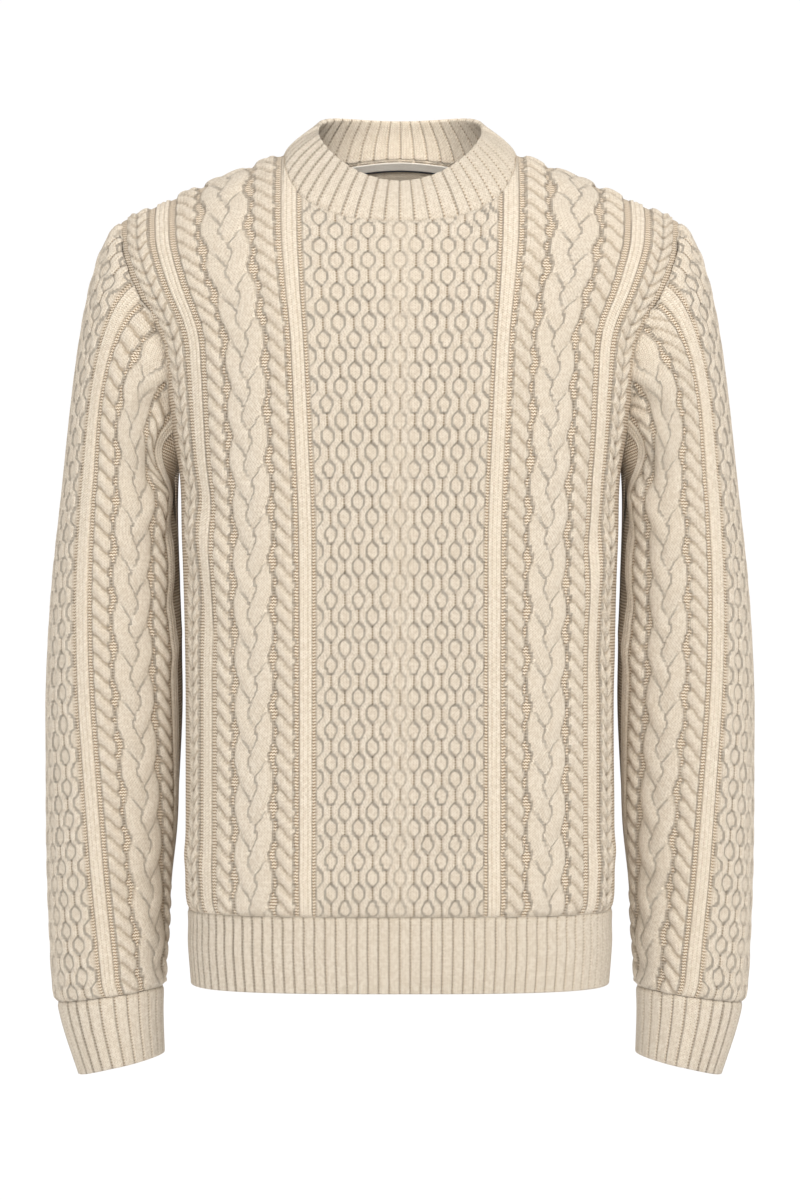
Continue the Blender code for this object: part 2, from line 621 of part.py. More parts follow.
def wall(name, outer, inner, material, collection, across=1):
    """One closed wall between two sets of wale lines that share their cut edges. across -1 mirrors it."""
    mesh = bmesh.new()

    def vertices(lines):
        return [[mesh.verts.new(p) for p in line.points] for line in lines]

    out, ins = vertices(outer), vertices(inner)
    faces = []
    uppers = []
    for lines, rows in ((outer, out), (inner, ins)):
        upper = [rows[0][-1]]
        keys = [lines[0].u]
        for a, b, row_a, row_b in zip(lines, lines[1:], rows, rows[1:]):
            before, after = [], []
            if a.bare is not None and a.u > 0:
                keep = int(np.sum(a.t <= a.bare))
                row_a, before = row_a[:keep], row_a[:keep - 1 : -1]
            if b.bare is not None and b.u < 0:
                keep = int(np.sum(b.t <= b.bare))
                row_b, after = row_b[:keep], row_b[keep:]
            if a.crests is None:
                faces += stitched(row_a[:-1], a.t, row_b[:-1], b.t)
            else:
                faces += roped(mesh, row_a[:-1], row_b[:-1], a.crests)
            edge = [row_a[-1]] + [mesh.verts.new(point) for _, point in a.tips] + [row_b[-1]]
            along = [a.u] + [u for u, _ in a.tips] + [b.u]
            faces += stitched([row_a[-2], row_b[-2]], [a.u, b.u], edge, along)
            upper += (before + edge + after)[1:]
            along[0] += KEY_STEP * len(before)
            along[-1] -= KEY_STEP * len(after)
            rising = [a.u + KEY_STEP * k for k in range(len(before))]
            closing = [b.u - KEY_STEP * k for k in range(len(after))][::-1]
            keys += (rising + along + closing)[1:]
        uppers += [upper, keys]
    faces += stitched(*uppers)
    lower_out, lower_in = [row[0] for row in out], [row[0] for row in ins]
    faces += stitched(lower_out, [line.u for line in outer], lower_in, [line.u for line in inner])
    for end in (0, -1):
        faces += stitched(out[end], share_of(outer[end].t), ins[end], share_of(inner[end].t))
    for corners in faces:
        if len(set(corners)) == 3:
            mesh.faces.new(corners)
    for vertex in mesh.verts:
        vertex.co.x *= across
    bmesh.ops.recalc_face_normals(mesh, faces=mesh.faces)
    data = bpy.data.meshes.new(name)
    mesh.to_mesh(data)
    mesh.free()
    data.shade_smooth()
    data.set_sharp_from_angle(angle=math.radians(24))
    piece = bpy.data.objects.new(name, data)
    piece.data.materials.append(material)
    collection.objects.link(piece)
    return piece


def even(first, last, step):
    return np.linspace(first, last, max(2, int(round((last - first) / step)) + 1))


def steps_between(first, last, offsets, period):
    """The line's two ends and every offset of the repeat that lies well between them."""
    n = np.arange(math.floor(first / period) - 1, math.ceil(last / period) + 2)
    t = np.sort((n[:, None] * period + np.asarray(offsets)[None, :]).ravel())
    margin = 0.25 * period / len(offsets)
    t = t[(t > first + margin) & (t < last - margin)]
    return np.r_[first, t, last]


def high_and_low(height, u, period, count=400):
    """Distances up the wale at which the knitting is highest and lowest within one repeat."""
    t = np.arange(count) / count * period
    h = height(u, t)
    return sorted([t[int(np.argmax(h))], t[int(np.argmin(h))]])


def cloth_line(cloth, u, t, height, sway=0.0):
    at = u + sway
    points, normals = cloth.at(at, t)
    lift = height(at, t)
    first, last = cloth.span(np.full(len(t), u))
    lift = lift * (0.35 + 0.65 * smooth(np.minimum(t - first, last - t) / FAR_SEAM_FADE))
    return Line(u, t, points + normals * lift[:, None])


def rope_lines(cloth, middle, left, right, height, hand, ridges):
    """The two gutters beside a rope, with a point where each crease runs out, and the crests between."""
    first, last = (float(v) for v in cloth.span(middle))
    n = np.arange(math.floor(first / ROPE_PERIOD), math.ceil(last / ROPE_PERIOD) + 1)
    crease = (n + 0.5) * ROPE_PERIOD
    margin = ROPE_DROP / 2 + CREASE_CLEAR
    crease = crease[(crease > first + margin) & (crease < last - margin)]
    gutters = []
    for u, way in ((left, hand), (right, -hand)):
        low, high = (float(v) for v in cloth.span(u))
        t = crease + way * ROPE_DROP / 2
        t = np.clip(t, low + END_CLEAR, high - END_CLEAR)
        gutters.append(cloth_line(cloth, u, np.r_[low, t, high], height))
    crest = (crease[1:] + crease[:-1]) / 2
    reach = RIDGE_SHARE * ROPE_HALF
    ends = []
    for x, way in ((-reach, hand), (reach, -hand)) if ridges else ((0.0, 0),):
        t = crest + way * LOBE_DROP / 2
        points, normals = cloth.at(np.full(len(t), middle + x), t)
        ends.append(points + normals * height(middle + x, t)[:, None])
    gutters[0].crests = list(zip(*ends))
    return gutters


def pattern_lines(cloth, honey, motifs, edges, hand, ridges):
    """Wale lines that catch the raised form with as few points as it needs."""

    def height(u, t):
        return raised(u, t, honey, motifs, hand)

    lines = []

    def add(u, offsets=None, period=None, way=0, bare=None):
        first, last = (float(v) for v in cloth.span(u))
        if bare is not None:
            t = edge_steps(first, bare, last)
        elif offsets is None:
            t = plain_steps(first, last)
        else:
            t = steps_between(first, last, offsets, period)
        line = cloth_line(cloth, u, t, height, way * HONEY_SWAY * swing(2 * math.pi * t / HONEY_PERIOD))
        line.bare = bare
        lines.append(line)

    strands = int(round(honey / HONEY_PITCH))
    quarter = HONEY_PERIOD / 4
    for k in range(-strands, strands):
        way = 1 if k % 2 == 0 else -1
        add((k + 0.5) * HONEY_PITCH, offsets=(quarter, 3 * quarter), period=HONEY_PERIOD, way=way)
        if k + 1 < strands:
            add((k + 1) * HONEY_PITCH, offsets=((3 if k % 2 == 0 else 1) * quarter,), period=HONEY_PERIOD)
    halves = {"rib": RIB_HALF, "rope": ROPE_HALF, "plait": PLAIT_HALF, "double": DOUBLE_HALF}
    starts = [middle - halves[kind] for kind, middle in motifs] + [motifs[-1][1] + halves[motifs[-1][0]]]
    ends = [honey] + [middle + halves[kind] for kind, middle in motifs]
    gutters = [(a + b) / 2 for a, b in zip(starts, ends)]
    by_rope = set()
    for i, (kind, middle) in enumerate(motifs):
        for side in (-1, 1):
            if kind == "rope":
                left, right = sorted((side * gutters[i], side * gutters[i + 1]))
                lines += rope_lines(cloth, side * middle, left, right, height, hand, ridges)
                by_rope |= {i, i + 1}
            elif kind == "plait":
                for x in (-SIDE_SHARE, SIDE_SHARE):
                    u = side * middle + x * PLAIT_HALF
                    add(u, offsets=high_and_low(height, u, PLAIT_PERIOD), period=PLAIT_PERIOD)
                add(side * middle, offsets=np.arange(3) / 3 * PLAIT_PERIOD, period=PLAIT_PERIOD)
            else:
                for x in (-SIDE_SHARE, SIDE_SHARE):
                    add(side * middle + x * halves[kind])
    for i, gutter in enumerate(gutters):
        if i not in by_rope:
            add(gutter)
            add(-gutter)
    for u in edges:
        for side in (-1, 1):
            bare = float(cloth.span(PAST_EDGE_U)[1]) if u == EDGE_U else None
            add(side * u, bare=bare)
    lines = sorted(lines, key=lambda line: line.u)
    add_tips(cloth, lines, 0.0)
    return lines


def add_tips(cloth, lines, depth):
    """Points on the upper edge wherever a straight step between two wale lines would leave its curve."""
    for a, b in zip(lines, lines[1:]):
        low = PAST_EDGE_U if a.bare is not None and a.u > 0 else a.u
        high = -PAST_EDGE_U if b.bare is not None and b.u < 0 else b.u
        u = np.linspace(low, high, 41)
        points, normals = cloth.at(u, cloth.span(u)[1])
        points = points - normals * depth
        chord = unit(points[-1] - points[0])
        away = points - points[0]
        sag = np.linalg.norm(away - (away @ chord)[:, None] * chord, axis=1).max()
        parts = int(math.ceil(math.sqrt(sag / EDGE_SAG)))
        arc = np.r_[0, np.cumsum(np.linalg.norm(np.diff(points, axis=0), axis=1))]
        for share in np.arange(1, parts) / max(parts, 1):
            k = int(np.argmin(np.abs(arc - share * arc[-1])))
            a.tips.append((u[k], points[k]))


def plain_steps(first, last):
    """Wide steps below, closer ones over the last stretch, where the cloth rounds off to its seam."""
    round_off = min(ROUND_OFF, ROUND_SHARE * (last - first))
    lower = even(first, last - round_off, PLAIN_STEP)
    upper = last - round_off * np.array(PLAIN_ROUND)
    return np.r_[lower[0], lower[0] + FIRST_STEP, lower[1:], upper]


def edge_steps(first, bare, last):
    """Wide steps up to where the line becomes the edge of the armhole, close ones from there on."""
    lower = even(first, bare, PLAIN_STEP)
    upper = even(bare, last, EDGE_STEP)
    return np.r_[lower[0], lower[0] + FIRST_STEP, lower[1:-1], bare - BEFORE_EDGE, upper]


def inner_steps(first, last):
    round_off = min(ROUND_OFF, ROUND_SHARE * (last - first))
    upper = last - round_off * np.array(INNER_ROUND)
    return np.r_[even(first, last - round_off, INNER_STEP), upper]


def inner_lines(cloth, columns):
    lines = []
    for u in columns:
        first, last = (float(v) for v in cloth.span(u))
        bare = float(cloth.span(PAST_EDGE_U)[1]) if abs(u) == EDGE_U else None
        t = inner_steps(first, last) if bare is None else edge_steps(first, bare, last)
        points, normals = cloth.at(np.full(len(t), u), t)
        line = Line(u, t, points - normals * WALL)
        line.bare = bare
        lines.append(line)
    add_tips(cloth, lines, WALL)
    return lines


# ---------------------------------------------------------------- ribbed bands and small pieces
def band(name, ring_at, ribs, material, collection, inner_count, across=1):
    """A ribbed band: ring_at(share round, share up) gives points and normals. Two points a rib."""
    ends = np.array([0.0, 1.0])
    outer, inner = [], []
    for k, s in enumerate(np.linspace(0, 1, 2 * ribs + 1)):
        points, normals = ring_at(np.full(2, s), ends)
        outer.append(Line(s, ends, points + normals * (BAND_RAISE if k % 2 else 0.0)))
    for s in np.linspace(0, 1, inner_count + 1):
        points, normals = ring_at(np.full(2, s), ends)
        inner.append(Line(s, ends, points - normals * WALL))
    return wall(name, outer, inner, material, collection, across)


def hem_ring(side):
    body = Torso(side)

    def at(s, v):
        z = HEM_Z + v * (HEM_SEAM_Z - SEAM_GAP / 2 - HEM_Z)
        signed = 2 * s - 1
        row = (z - body.levels[0]) / (body.levels[1] - body.levels[0])
        i = np.clip(np.floor(row).astype(int), 0, len(body.levels) - 2)
        col = np.abs(signed) * (body.x.shape[1] - 1)
        j = np.clip(np.floor(col).astype(int), 0, body.x.shape[1] - 2)
        g = col - j
        x = (1 - g) * body.x[i, j] + g * body.x[i, j + 1]
        y = (1 - g) * body.y[i, j] + g * body.y[i, j + 1]
        dx = body.x[i, j + 1] - body.x[i, j]
        dy = body.y[i, j + 1] - body.y[i, j]
        flat = unit(np.stack([-dy, dx, 0 * x], axis=-1))
        flat[np.abs(signed) > 0.9999] = (1, 0, 0)
        sign = np.where(signed < 0, -1, 1)
        points = np.stack([sign * x, side * (y + SEAM_GAP / 2), z], axis=-1)
        normals = np.stack([sign * flat[:, 0], side * flat[:, 1], flat[:, 2]], axis=-1)
        return points, unit(normals)

    return at


def cuff_ring():
    def at(s, v):
        turn = (2 * s - 1) * (math.pi - CUFF_SPLIT)
        z = CUFF_Z + v * (CUFF_SEAM_Z - SEAM_GAP / 2 - CUFF_Z)
        points = section_point(z, turn)
        near, far = section_point(z, turn - TURN_STEP), section_point(z, turn + TURN_STEP)
        across = unit(far - near)
        up = unit(section_point(z + UP_STEP, turn) - section_point(z - UP_STEP, turn))
        normals = unit(np.cross(up, across))
        tilt = np.stack([np.zeros_like(s), np.zeros_like(s), np.ones_like(s)], axis=-1)
        slope = (CUFF_TILT_TOP + (1 - v) * (CUFF_TILT_END - CUFF_TILT_TOP)) / lookup(SLEEVE, HALF_ACROSS, z)
        tilt[:, 0] = slope
        tilt = unit(tilt)
        normals = normals - (normals * tilt).sum(axis=1, keepdims=True) * tilt
        return points, unit(normals)

    return at


def neck_edge(cloth, corner):
    """How far out each wale line of a panel meets the neckline."""
    u = np.linspace(0, corner, 200)
    return cloth.at(u, cloth.span(u)[1])[0][:, 0], u


def neck_base(angle):
    """On the neckline; angle 0 at the front centre, growing towards +X. Returns points just clear of the
    panel's edge, and the panel's normals."""
    points = np.zeros(angle.shape + (3,))
    normals = np.zeros_like(points)
    for side, cloth, (edge_x, edge_u) in ((-1, FRONT, FRONT_NECK), (1, BACK, BACK_NECK)):
        here = (np.cos(angle) >= 0) == (side < 0)
        at = np.interp(NECK_HALF_WIDTH * np.abs(np.sin(angle)), edge_x, edge_u)
        end = cloth.span(at)[1]
        p, n = cloth.at(at, end)
        ahead, behind = np.minimum(at + BESIDE, edge_u[-1]), np.maximum(at - BESIDE, 0)
        along = cloth.at(ahead, cloth.span(ahead)[1])[0]
        along = along - cloth.at(behind, cloth.span(behind)[1])[0]
        aside = unit(np.cross(n, along))
        inward = np.sign((aside * (np.array([0, 0, 0.03]) - p * np.array([1, 1, 0]))).sum(axis=1))
        p = p + NECK_GAP * aside * inward[:, None]
        sign = np.where(np.sin(angle) < 0, -1, 1)
        p[:, 0] *= sign
        n[:, 0] *= sign
        points[here], normals[here] = p[here], n[here]
    return points, normals


def collar_top(angle):
    cos = np.cos(angle)
    front, mid, back = COLLAR_TOP_Z
    bow = (front + back) / 2 - mid
    z = mid + (front - back) / 2 * cos + bow * cos**2
    y = -np.where(cos > 0, COLLAR_TOP[1], COLLAR_TOP[2]) * cos
    return np.stack([COLLAR_TOP[0] * np.sin(angle), y, z], axis=-1)


def collar_surface(angle, v):
    base, lean = neck_base(angle)
    top = collar_top(angle)
    rise = unit(top - base)
    bulge = np.sin(math.pi * v)[:, None] * COLLAR_BULGE
    out = unit(lean - (lean * rise).sum(axis=1, keepdims=True) * rise)
    return base + (top - base) * v[:, None] + out * bulge


def collar_ring():
    turn = np.linspace(-math.pi, math.pi, 721)
    mid = collar_surface(turn, np.full(721, 0.4))
    arc = np.r_[0, np.cumsum(np.linalg.norm(np.diff(mid, axis=0), axis=1))]
    arc /= arc[-1]

    def at(s, v):
        angle = np.interp(COLLAR_SPLIT + (1 - 2 * COLLAR_SPLIT) * s, arc, turn)
        points = collar_surface(angle, v)
        across = collar_surface(angle + TURN_STEP, v) - collar_surface(angle - TURN_STEP, v)
        up = collar_surface(angle, np.clip(v + 0.05, 0, 1))
        up = up - collar_surface(angle, np.clip(v - 0.05, 0, 1))
        normals = unit(np.cross(across, up))
        flip = np.sign((normals[:, :2] * points[:, :2]).sum(axis=1))
        normals = normals * flip[:, None]
        lean = neck_base(angle)[1]
        share = smooth(1 - v / COLLAR_SETTLE)[:, None]
        return points, unit(normals * (1 - share) + lean * share)

    return at


def strip_piece(name, sizes, material, collection, count):
    """A flat strip sewn inside the back neck, which follows the cloth there."""
    low, high, reach, offset, thickness = sizes
    outer, inner = [], []
    for x in np.linspace(-reach, reach, count):
        at = np.interp(abs(x), *BACK_NECK) * np.sign(x)
        last = float(BACK.span(at)[1])
        t = np.array([last - low, last - high])
        points, normals = BACK.at(np.full(2, at), t)
        outer.append(Line(x, t, points - normals * (WALL + offset)))
        inner.append(Line(x, t, points - normals * (WALL + offset + thickness)))
    return wall(name, outer, inner, material, collection)


# ---------------------------------------------------------------- materials
def material(name, colour, roughness):
    made = bpy.data.materials.new(name)
    made.use_nodes = True
    shader = made.node_tree.nodes["Principled BSDF"]
    shader.inputs["Base Color"].default_value = (*colour, 1)
    shader.inputs["Roughness"].default_value = roughness
    shader.inputs["Metallic"].default_value = 0.0
    made.diffuse_color = (*colour, 1)
    return made


for old in list(bpy.data.objects):
    bpy.data.objects.remove(old, do_unlink=True)

FRONT_TORSO, BACK_TORSO = Torso(-1), Torso(1)
FRONT, BACK = torso_cloth(-1), torso_cloth(1)
FRONT_NECK, BACK_NECK = neck_edge(FRONT, FRONT_TORSO.corner), neck_edge(BACK, BACK_TORSO.corner)


def both_ways(half):
    return sorted({-u for u in half} | set(half))


def main():
    sweater = bpy.data.collections.new("cable_knit_sweater")
    bpy.context.scene.collection.children.link(sweater)
    knit = material("knit", (0.83, 0.73, 0.60), 0.95)
    tape = material("tape", (0.55, 0.50, 0.44), 0.8)
    dark = material("dark_tape", (0.02, 0.022, 0.03), 0.7)

    honey = BODY_STRANDS * HONEY_PITCH
    for side, name, cloth, torso in (
        (-1, "front_panel", FRONT, FRONT_TORSO),
        (1, "back_panel", BACK, BACK_TORSO),
    ):
        outer = pattern_lines(cloth, honey, BODY_MOTIFS, BODY_STRIP, -side, side < 0)
        inner = inner_lines(cloth, both_ways((*BODY_INSIDE, torso.corner, *BODY_STRIP)))
        wall(name, outer, inner, knit, sweater)

    cloth = sleeve_cloth()
    inner = inner_lines(cloth, both_ways((*SLEEVE_INSIDE, *SLEEVE_STRIP)))
    for across, name in ((1, "sleeve_left"), (-1, "sleeve_right")):
        outer = pattern_lines(cloth, SLEEVE_HONEY, SLEEVE_MOTIFS, SLEEVE_STRIP, -across, False)
        wall(name, outer, inner, knit, sweater, across)

    for side, name in ((-1, "hem_rib_front"), (1, "hem_rib_back")):
        band(name, hem_ring(side), HEM_RIBS, knit, sweater, HEM_INSIDE)
    for across, name in ((1, "cuff_left"), (-1, "cuff_right")):
        band(name, cuff_ring(), CUFF_RIBS, knit, sweater, CUFF_INSIDE, across)
    band("neck_rib", collar_ring(), COLLAR_RIBS, knit, sweater, COLLAR_INSIDE)

    strip_piece("neck_tape", TAPE, tape, sweater, TAPE_LINES)
    strip_piece("neck_tape_edge", TAPE_EDGE, dark, sweater, TAPE_LINES)
    strip_piece("neck_label", LABEL, dark, sweater, LABEL_LINES)


main()
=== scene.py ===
"""Cable knit crew-neck sweater: the finish of every piece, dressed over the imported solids.

The cloth follows the same surfaces as the solids, sampled finely enough for every cable, honeycomb cell
and rib to show in the mesh. Single stitches are bump, laid out by a vertex attribute that follows each
cable's strands. Metres, +Z up, front towards -Y, the wearer's left towards +X. On the cloth, u runs across
the wales from a piece's middle line and t runs up along them.
"""

import math

import bmesh
import bpy
import numpy as np
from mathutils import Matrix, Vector


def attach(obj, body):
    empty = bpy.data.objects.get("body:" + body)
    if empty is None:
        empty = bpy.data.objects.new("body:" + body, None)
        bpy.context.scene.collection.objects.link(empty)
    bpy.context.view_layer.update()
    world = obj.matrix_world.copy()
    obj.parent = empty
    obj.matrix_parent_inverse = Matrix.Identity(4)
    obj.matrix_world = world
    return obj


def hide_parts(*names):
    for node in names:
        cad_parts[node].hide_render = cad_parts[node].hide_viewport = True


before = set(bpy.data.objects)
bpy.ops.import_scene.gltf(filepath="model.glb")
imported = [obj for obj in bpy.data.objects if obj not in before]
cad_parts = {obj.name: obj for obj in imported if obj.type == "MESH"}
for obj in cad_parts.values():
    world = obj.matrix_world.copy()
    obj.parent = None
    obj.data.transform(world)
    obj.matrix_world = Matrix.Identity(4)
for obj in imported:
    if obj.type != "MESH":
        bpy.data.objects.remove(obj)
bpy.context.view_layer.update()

# ---------------------------------------------------------------- driving sizes, metres
FRONT, BACK = -1, 1  # the two sides of the body, and the sign of y there
WALL = 0.0022  # cloth under the raised stitches
ARMHOLE_LAP, NECK_LAP = 0.0010, 0.0008  # sleeves and collar reach this far past the panels' edges

HEM_Z, HEM_SEAM_Z = -0.672, -0.612
UNDERARM_Z = -0.250
LOW_TOP_Z, TOP_Z = -0.150, 0.060  # the panels' wales end between these, apart from the plain strips

SECTION_POWER = 3.0  # rounded-box power of the horizontal sections
BODY_WIDTH, BODY_DEPTH = 1, {FRONT: 2, BACK: 3}  # columns of TORSO
TORSO = np.array(
    [  # z, half width, front depth, back depth
        (-0.672, 0.1692, 0.1040, 0.0985),
        (-0.640, 0.1716, 0.1065, 0.1010),
        (-0.614, 0.1722, 0.1070, 0.1015),
        (-0.606, 0.1742, 0.1092, 0.1035),
        (-0.590, 0.1752, 0.1103, 0.1045),
        (-0.540, 0.1750, 0.1102, 0.1042),
        (-0.443, 0.1750, 0.1100, 0.1038),
        (-0.361, 0.1763, 0.1100, 0.1035),
        (-0.312, 0.1780, 0.1105, 0.1038),
        (-0.250, 0.1810, 0.1105, 0.1045),
        (-0.225, 0.1860, 0.1105, 0.1045),
        (-0.200, 0.1905, 0.1105, 0.1045),
        (-0.172, 0.1970, 0.1100, 0.1045),
        (-0.149, 0.2055, 0.1100, 0.1045),
        (-0.137, 0.2130, 0.1100, 0.1045),
        (-0.115, 0.2280, 0.1100, 0.1045),
        (-0.099, 0.2360, 0.1100, 0.1045),
        (-0.079, 0.2400, 0.1100, 0.1045),
        (0.060, 0.2400, 0.1100, 0.1045),
    ]
)
ARMHOLE = np.array(
    [  # z, x of the armhole seam
        (-0.250, 0.1810),
        (-0.225, 0.1845),
        (-0.200, 0.1870),
        (-0.172, 0.1885),
        (-0.160, 0.1905),
        (-0.149, 0.1935),
        (-0.137, 0.1990),
        (-0.115, 0.2116),
        (-0.099, 0.2190),
        (-0.079, 0.2255),
        (-0.054, 0.2280),
    ]
)
STRIP_END_Z = -0.160  # from here up the plain strip beside the armhole keeps its width
FAN = np.array(
    [  # z, spread of the honeycomb
        (-0.700, 1.0),
        (-0.330, 1.0),
        (-0.200, 1.07),
        (-0.065, 1.18),
        (0.060, 1.20),
    ]
)
FAN_HALF = 0.0653  # the wales up to here spread as the table says

SHOULDER_SLOPE, SHOULDER_CROWN = 0.43, 0.1149
SHOULDER_ROUND = 0.050  # the shoulder line levels off over this distance at the neck
LEAN_HEIGHT = {FRONT: 0.250, BACK: 0.110}  # over this height a side leans in to the shoulder seam

NECK_HALF_WIDTH, NECK_CURVE = 0.095, 0.55
NECK_Z = {FRONT: -0.058, BACK: 0.008}
NECK_MIDDLE_Z = 0.03  # inwards from the neckline is towards the middle line, and this much up
CORNER_BETWEEN = (0.06, 0.11)  # the wales between which the neckline meets the shoulder

COLLAR_HALF_WIDTH, COLLAR_DEPTH = 0.068, 0.058  # of its top edge
COLLAR_FRONT_Z, COLLAR_SIDE_Z, COLLAR_BACK_Z = -0.025, 0.025, 0.038
COLLAR_RIBS, COLLAR_HEIGHT, COLLAR_BULGE = 50, 0.036, 0.0022
COLLAR_EVEN = 0.4  # the ribs are evenly wide at this share of the collar's height
COLLAR_TURN = 0.35  # below this share of its height its ribs stand off as the panels' stitches do

LOOP_MID_Z, LOOP_HALF_HEIGHT = -0.152, 0.098  # the armhole seam as a loop
SLEEVE_START_Z = -0.280  # below this the sleeve's sections are level
SLEEVE_END_Z = -0.6845
CENTRE_X, HALF_ACROSS, CENTRE_Y, HALF_DEEP = 1, 2, 3, 4  # columns of SLEEVE
SLEEVE = np.array(
    [  # z, centre x, half width, centre y, half depth
        (-0.742, 0.2295, 0.0340, 0.0160, 0.0300),
        (-0.700, 0.2370, 0.0405, 0.0160, 0.0365),
        (-0.6860, 0.2385, 0.0425, 0.0160, 0.0385),
        (-0.6800, 0.2392, 0.0435, 0.0160, 0.0400),
        (-0.656, 0.2399, 0.0451, 0.0160, 0.0415),
        (-0.623, 0.2395, 0.0475, 0.0160, 0.0440),
        (-0.590, 0.2391, 0.0492, 0.0158, 0.0465),
        (-0.541, 0.2366, 0.0524, 0.0155, 0.0500),
        (-0.492, 0.2350, 0.0540, 0.0150, 0.0535),
        (-0.443, 0.2340, 0.0550, 0.0140, 0.0560),
        (-0.410, 0.2335, 0.0543, 0.0130, 0.0575),
        (-0.344, 0.2321, 0.0513, 0.0105, 0.0595),
        (-0.280, 0.2301, 0.0459, 0.0070, 0.0600),
    ]
)
SLEEVE_POWER = 2.15
SLEEVE_TWIST = np.array(
    [  # z, degrees to the front
        (-0.742, 25.0),
        (-0.684, 23.0),
        (-0.410, 10.0),
        (-0.280, 5.0),
    ]
)
CAP_TWIST = 5.0
# How a cap leaves the armhole, at the shoulder tip and under the arm, and its flare to front and back
LEAVE_TOP, LEAVE_UNDER = np.array([0.090, 0, -0.038]), np.array([0.009, 0, -0.026])
LEAVE_FLARE = np.array([0, -0.012, 0])
# The outer side of the wrist hangs lower: from here down, by this at the cuff seam and at the cuff's end
TILT_START_Z, TILT_SEAM, TILT_END = -0.56, 0.0065, 0.0085
CUFF_SEAM_Z, CUFF_Z = -0.6848, -0.7415
CUFF_RIBS = 26
HEM_RIBS = 56  # on each panel

# ---------------------------------------------------------------- the stitch pattern
PURL_WALE, CABLE_WALE, PLAIT_WALE, RIB_WALE = 0.0022, 0.0024, 0.0023, 0.0035
COURSE = 0.0021  # height of one row of stitches

HONEY_PITCH, HONEY_PERIOD, HONEY_SWAY = 0.01089, 0.0258, 0.0026
HONEY_FLOOR, HONEY_RAISE = 0.0011, 0.0028  # a cell's floor and the crests, over the purl ground
HONEY_WIDE = 0.0043  # half width of a strand
HONEY_STEPS = 6  # columns across one strand
GROOVE_DEPTH, GROOVE_MEET = 0.0008, 0.3  # where two strands run side by side

ROPE_PERIOD, ROPE_LOW, ROPE_HIGH = 0.0149, 0.0004, 0.0040
ROPE_WIDE, ROPE_WAIST = 0.0075, 0.84  # half width of a lobe, and how much of it is left between lobes
ROPE_SLANT, ROPE_BEND = 0.0110, 1.2  # a crease's run down across the rope, and how steep its middle is
ROPE_PUFF, ROPE_EDGE = 0.75, 0.7  # powers: below one the lobes are full and their ends steep
CREASE_REACH = 0.93  # share of the half width that a crease's painted shade line crosses
CREASE_START, CREASE_FADE = 0.62, 0.40  # shares of a lobe's height, below which a crease's painted shade sets in and over which it grows
DOUBLE_PERIOD, DOUBLE_SLANT, DOUBLE_RAISE = 0.0121, 0.0075, 0.8

PLAIT_PERIOD, PLAIT_SWAY, PLAIT_STRAND = 0.0392, 0.0090, 0.0074
PLAIT_RAISE, PLAIT_LIFT, PLAIT_EDGE = 0.0027, 0.0013, 0.8

RIB_RAISE, RIB_WIDE, RIB_EDGE = 0.0018, 0.0053, 0.0014
RIB_GROOVE, RIB_LAND, RIB_FADE = 0.60, 0.28, 0.2  # depth share; half land and fade in wales

COLUMN_HALF = {"rib": 0.0056, "rope": 0.0079, "plait": 0.0160, "double": 0.0098}
BODY_HONEY, SLEEVE_HONEY = 6 * HONEY_PITCH, 4 * HONEY_PITCH
BODY_MOTIFS = (  # kind, wale coordinate of the middle
    ("rib", 0.0744),
    ("rope", 0.0907),
    ("plait", 0.1170),
    ("rope", 0.1433),
    ("rib", 0.1604),
    ("double", 0.1804),
)
SLEEVE_MOTIFS = (
    ("rib", 0.0535),
    ("rope", 0.0700),
    ("plait", 0.0960),
    ("rope", 0.1220),
    ("rib", 0.1380),
)
DOUBLE_OUTER, SIDE_U = 0.1905, 0.2420  # outer ends of the pattern and of the panel
EDGE_U = DOUBLE_OUTER + 0.008  # outer end of the shoulder seam
PAST_EDGE_U = EDGE_U + 0.00001  # the first wale that the armhole cuts short
SLEEVE_U = 0.175

SEAM_SHARE, SEAM_FADE = 0.35, 0.0040  # the stitches sink to this share at a seam, over this distance
SEAM_DIP, SEAM_REACH = 0.0006, 0.0040  # cloth dips into a seam by this, over this distance

FOLD_BOW = 0.5  # a fold bows by this share of its half width
FOLD_START, FOLD_FADE = 0.15, 0.35  # depth at a fold's ends, and the share of its length over which it grows
# Folds: u and t of both ends, half width, height with troughs below zero
FRONT_FOLDS = (
    (-0.195, 0.350, -0.110, 0.285, 0.014, -0.0026),
    (-0.190, 0.325, -0.120, 0.235, 0.012, 0.0018),
    (-0.200, 0.300, -0.150, 0.200, 0.013, -0.0022),
    (0.195, 0.345, 0.120, 0.270, 0.013, -0.0024),
    (0.190, 0.320, 0.130, 0.225, 0.012, 0.0016),
    (0.205, 0.290, 0.160, 0.180, 0.014, -0.0020),
    (-0.120, 0.030, 0.020, 0.022, 0.011, 0.0016),
    (-0.040, 0.052, 0.130, 0.044, 0.012, -0.0014),
    (0.150, 0.030, 0.230, 0.050, 0.012, 0.0018),
    (-0.230, 0.045, -0.150, 0.030, 0.012, 0.0016),
    (-0.150, 0.470, -0.070, 0.530, 0.020, -0.0014),
    (0.150, 0.460, 0.080, 0.530, 0.020, -0.0012),
    (-0.205, 0.180, -0.195, 0.060, 0.012, -0.0016),
    (0.212, 0.200, 0.205, 0.090, 0.013, -0.0018),
)
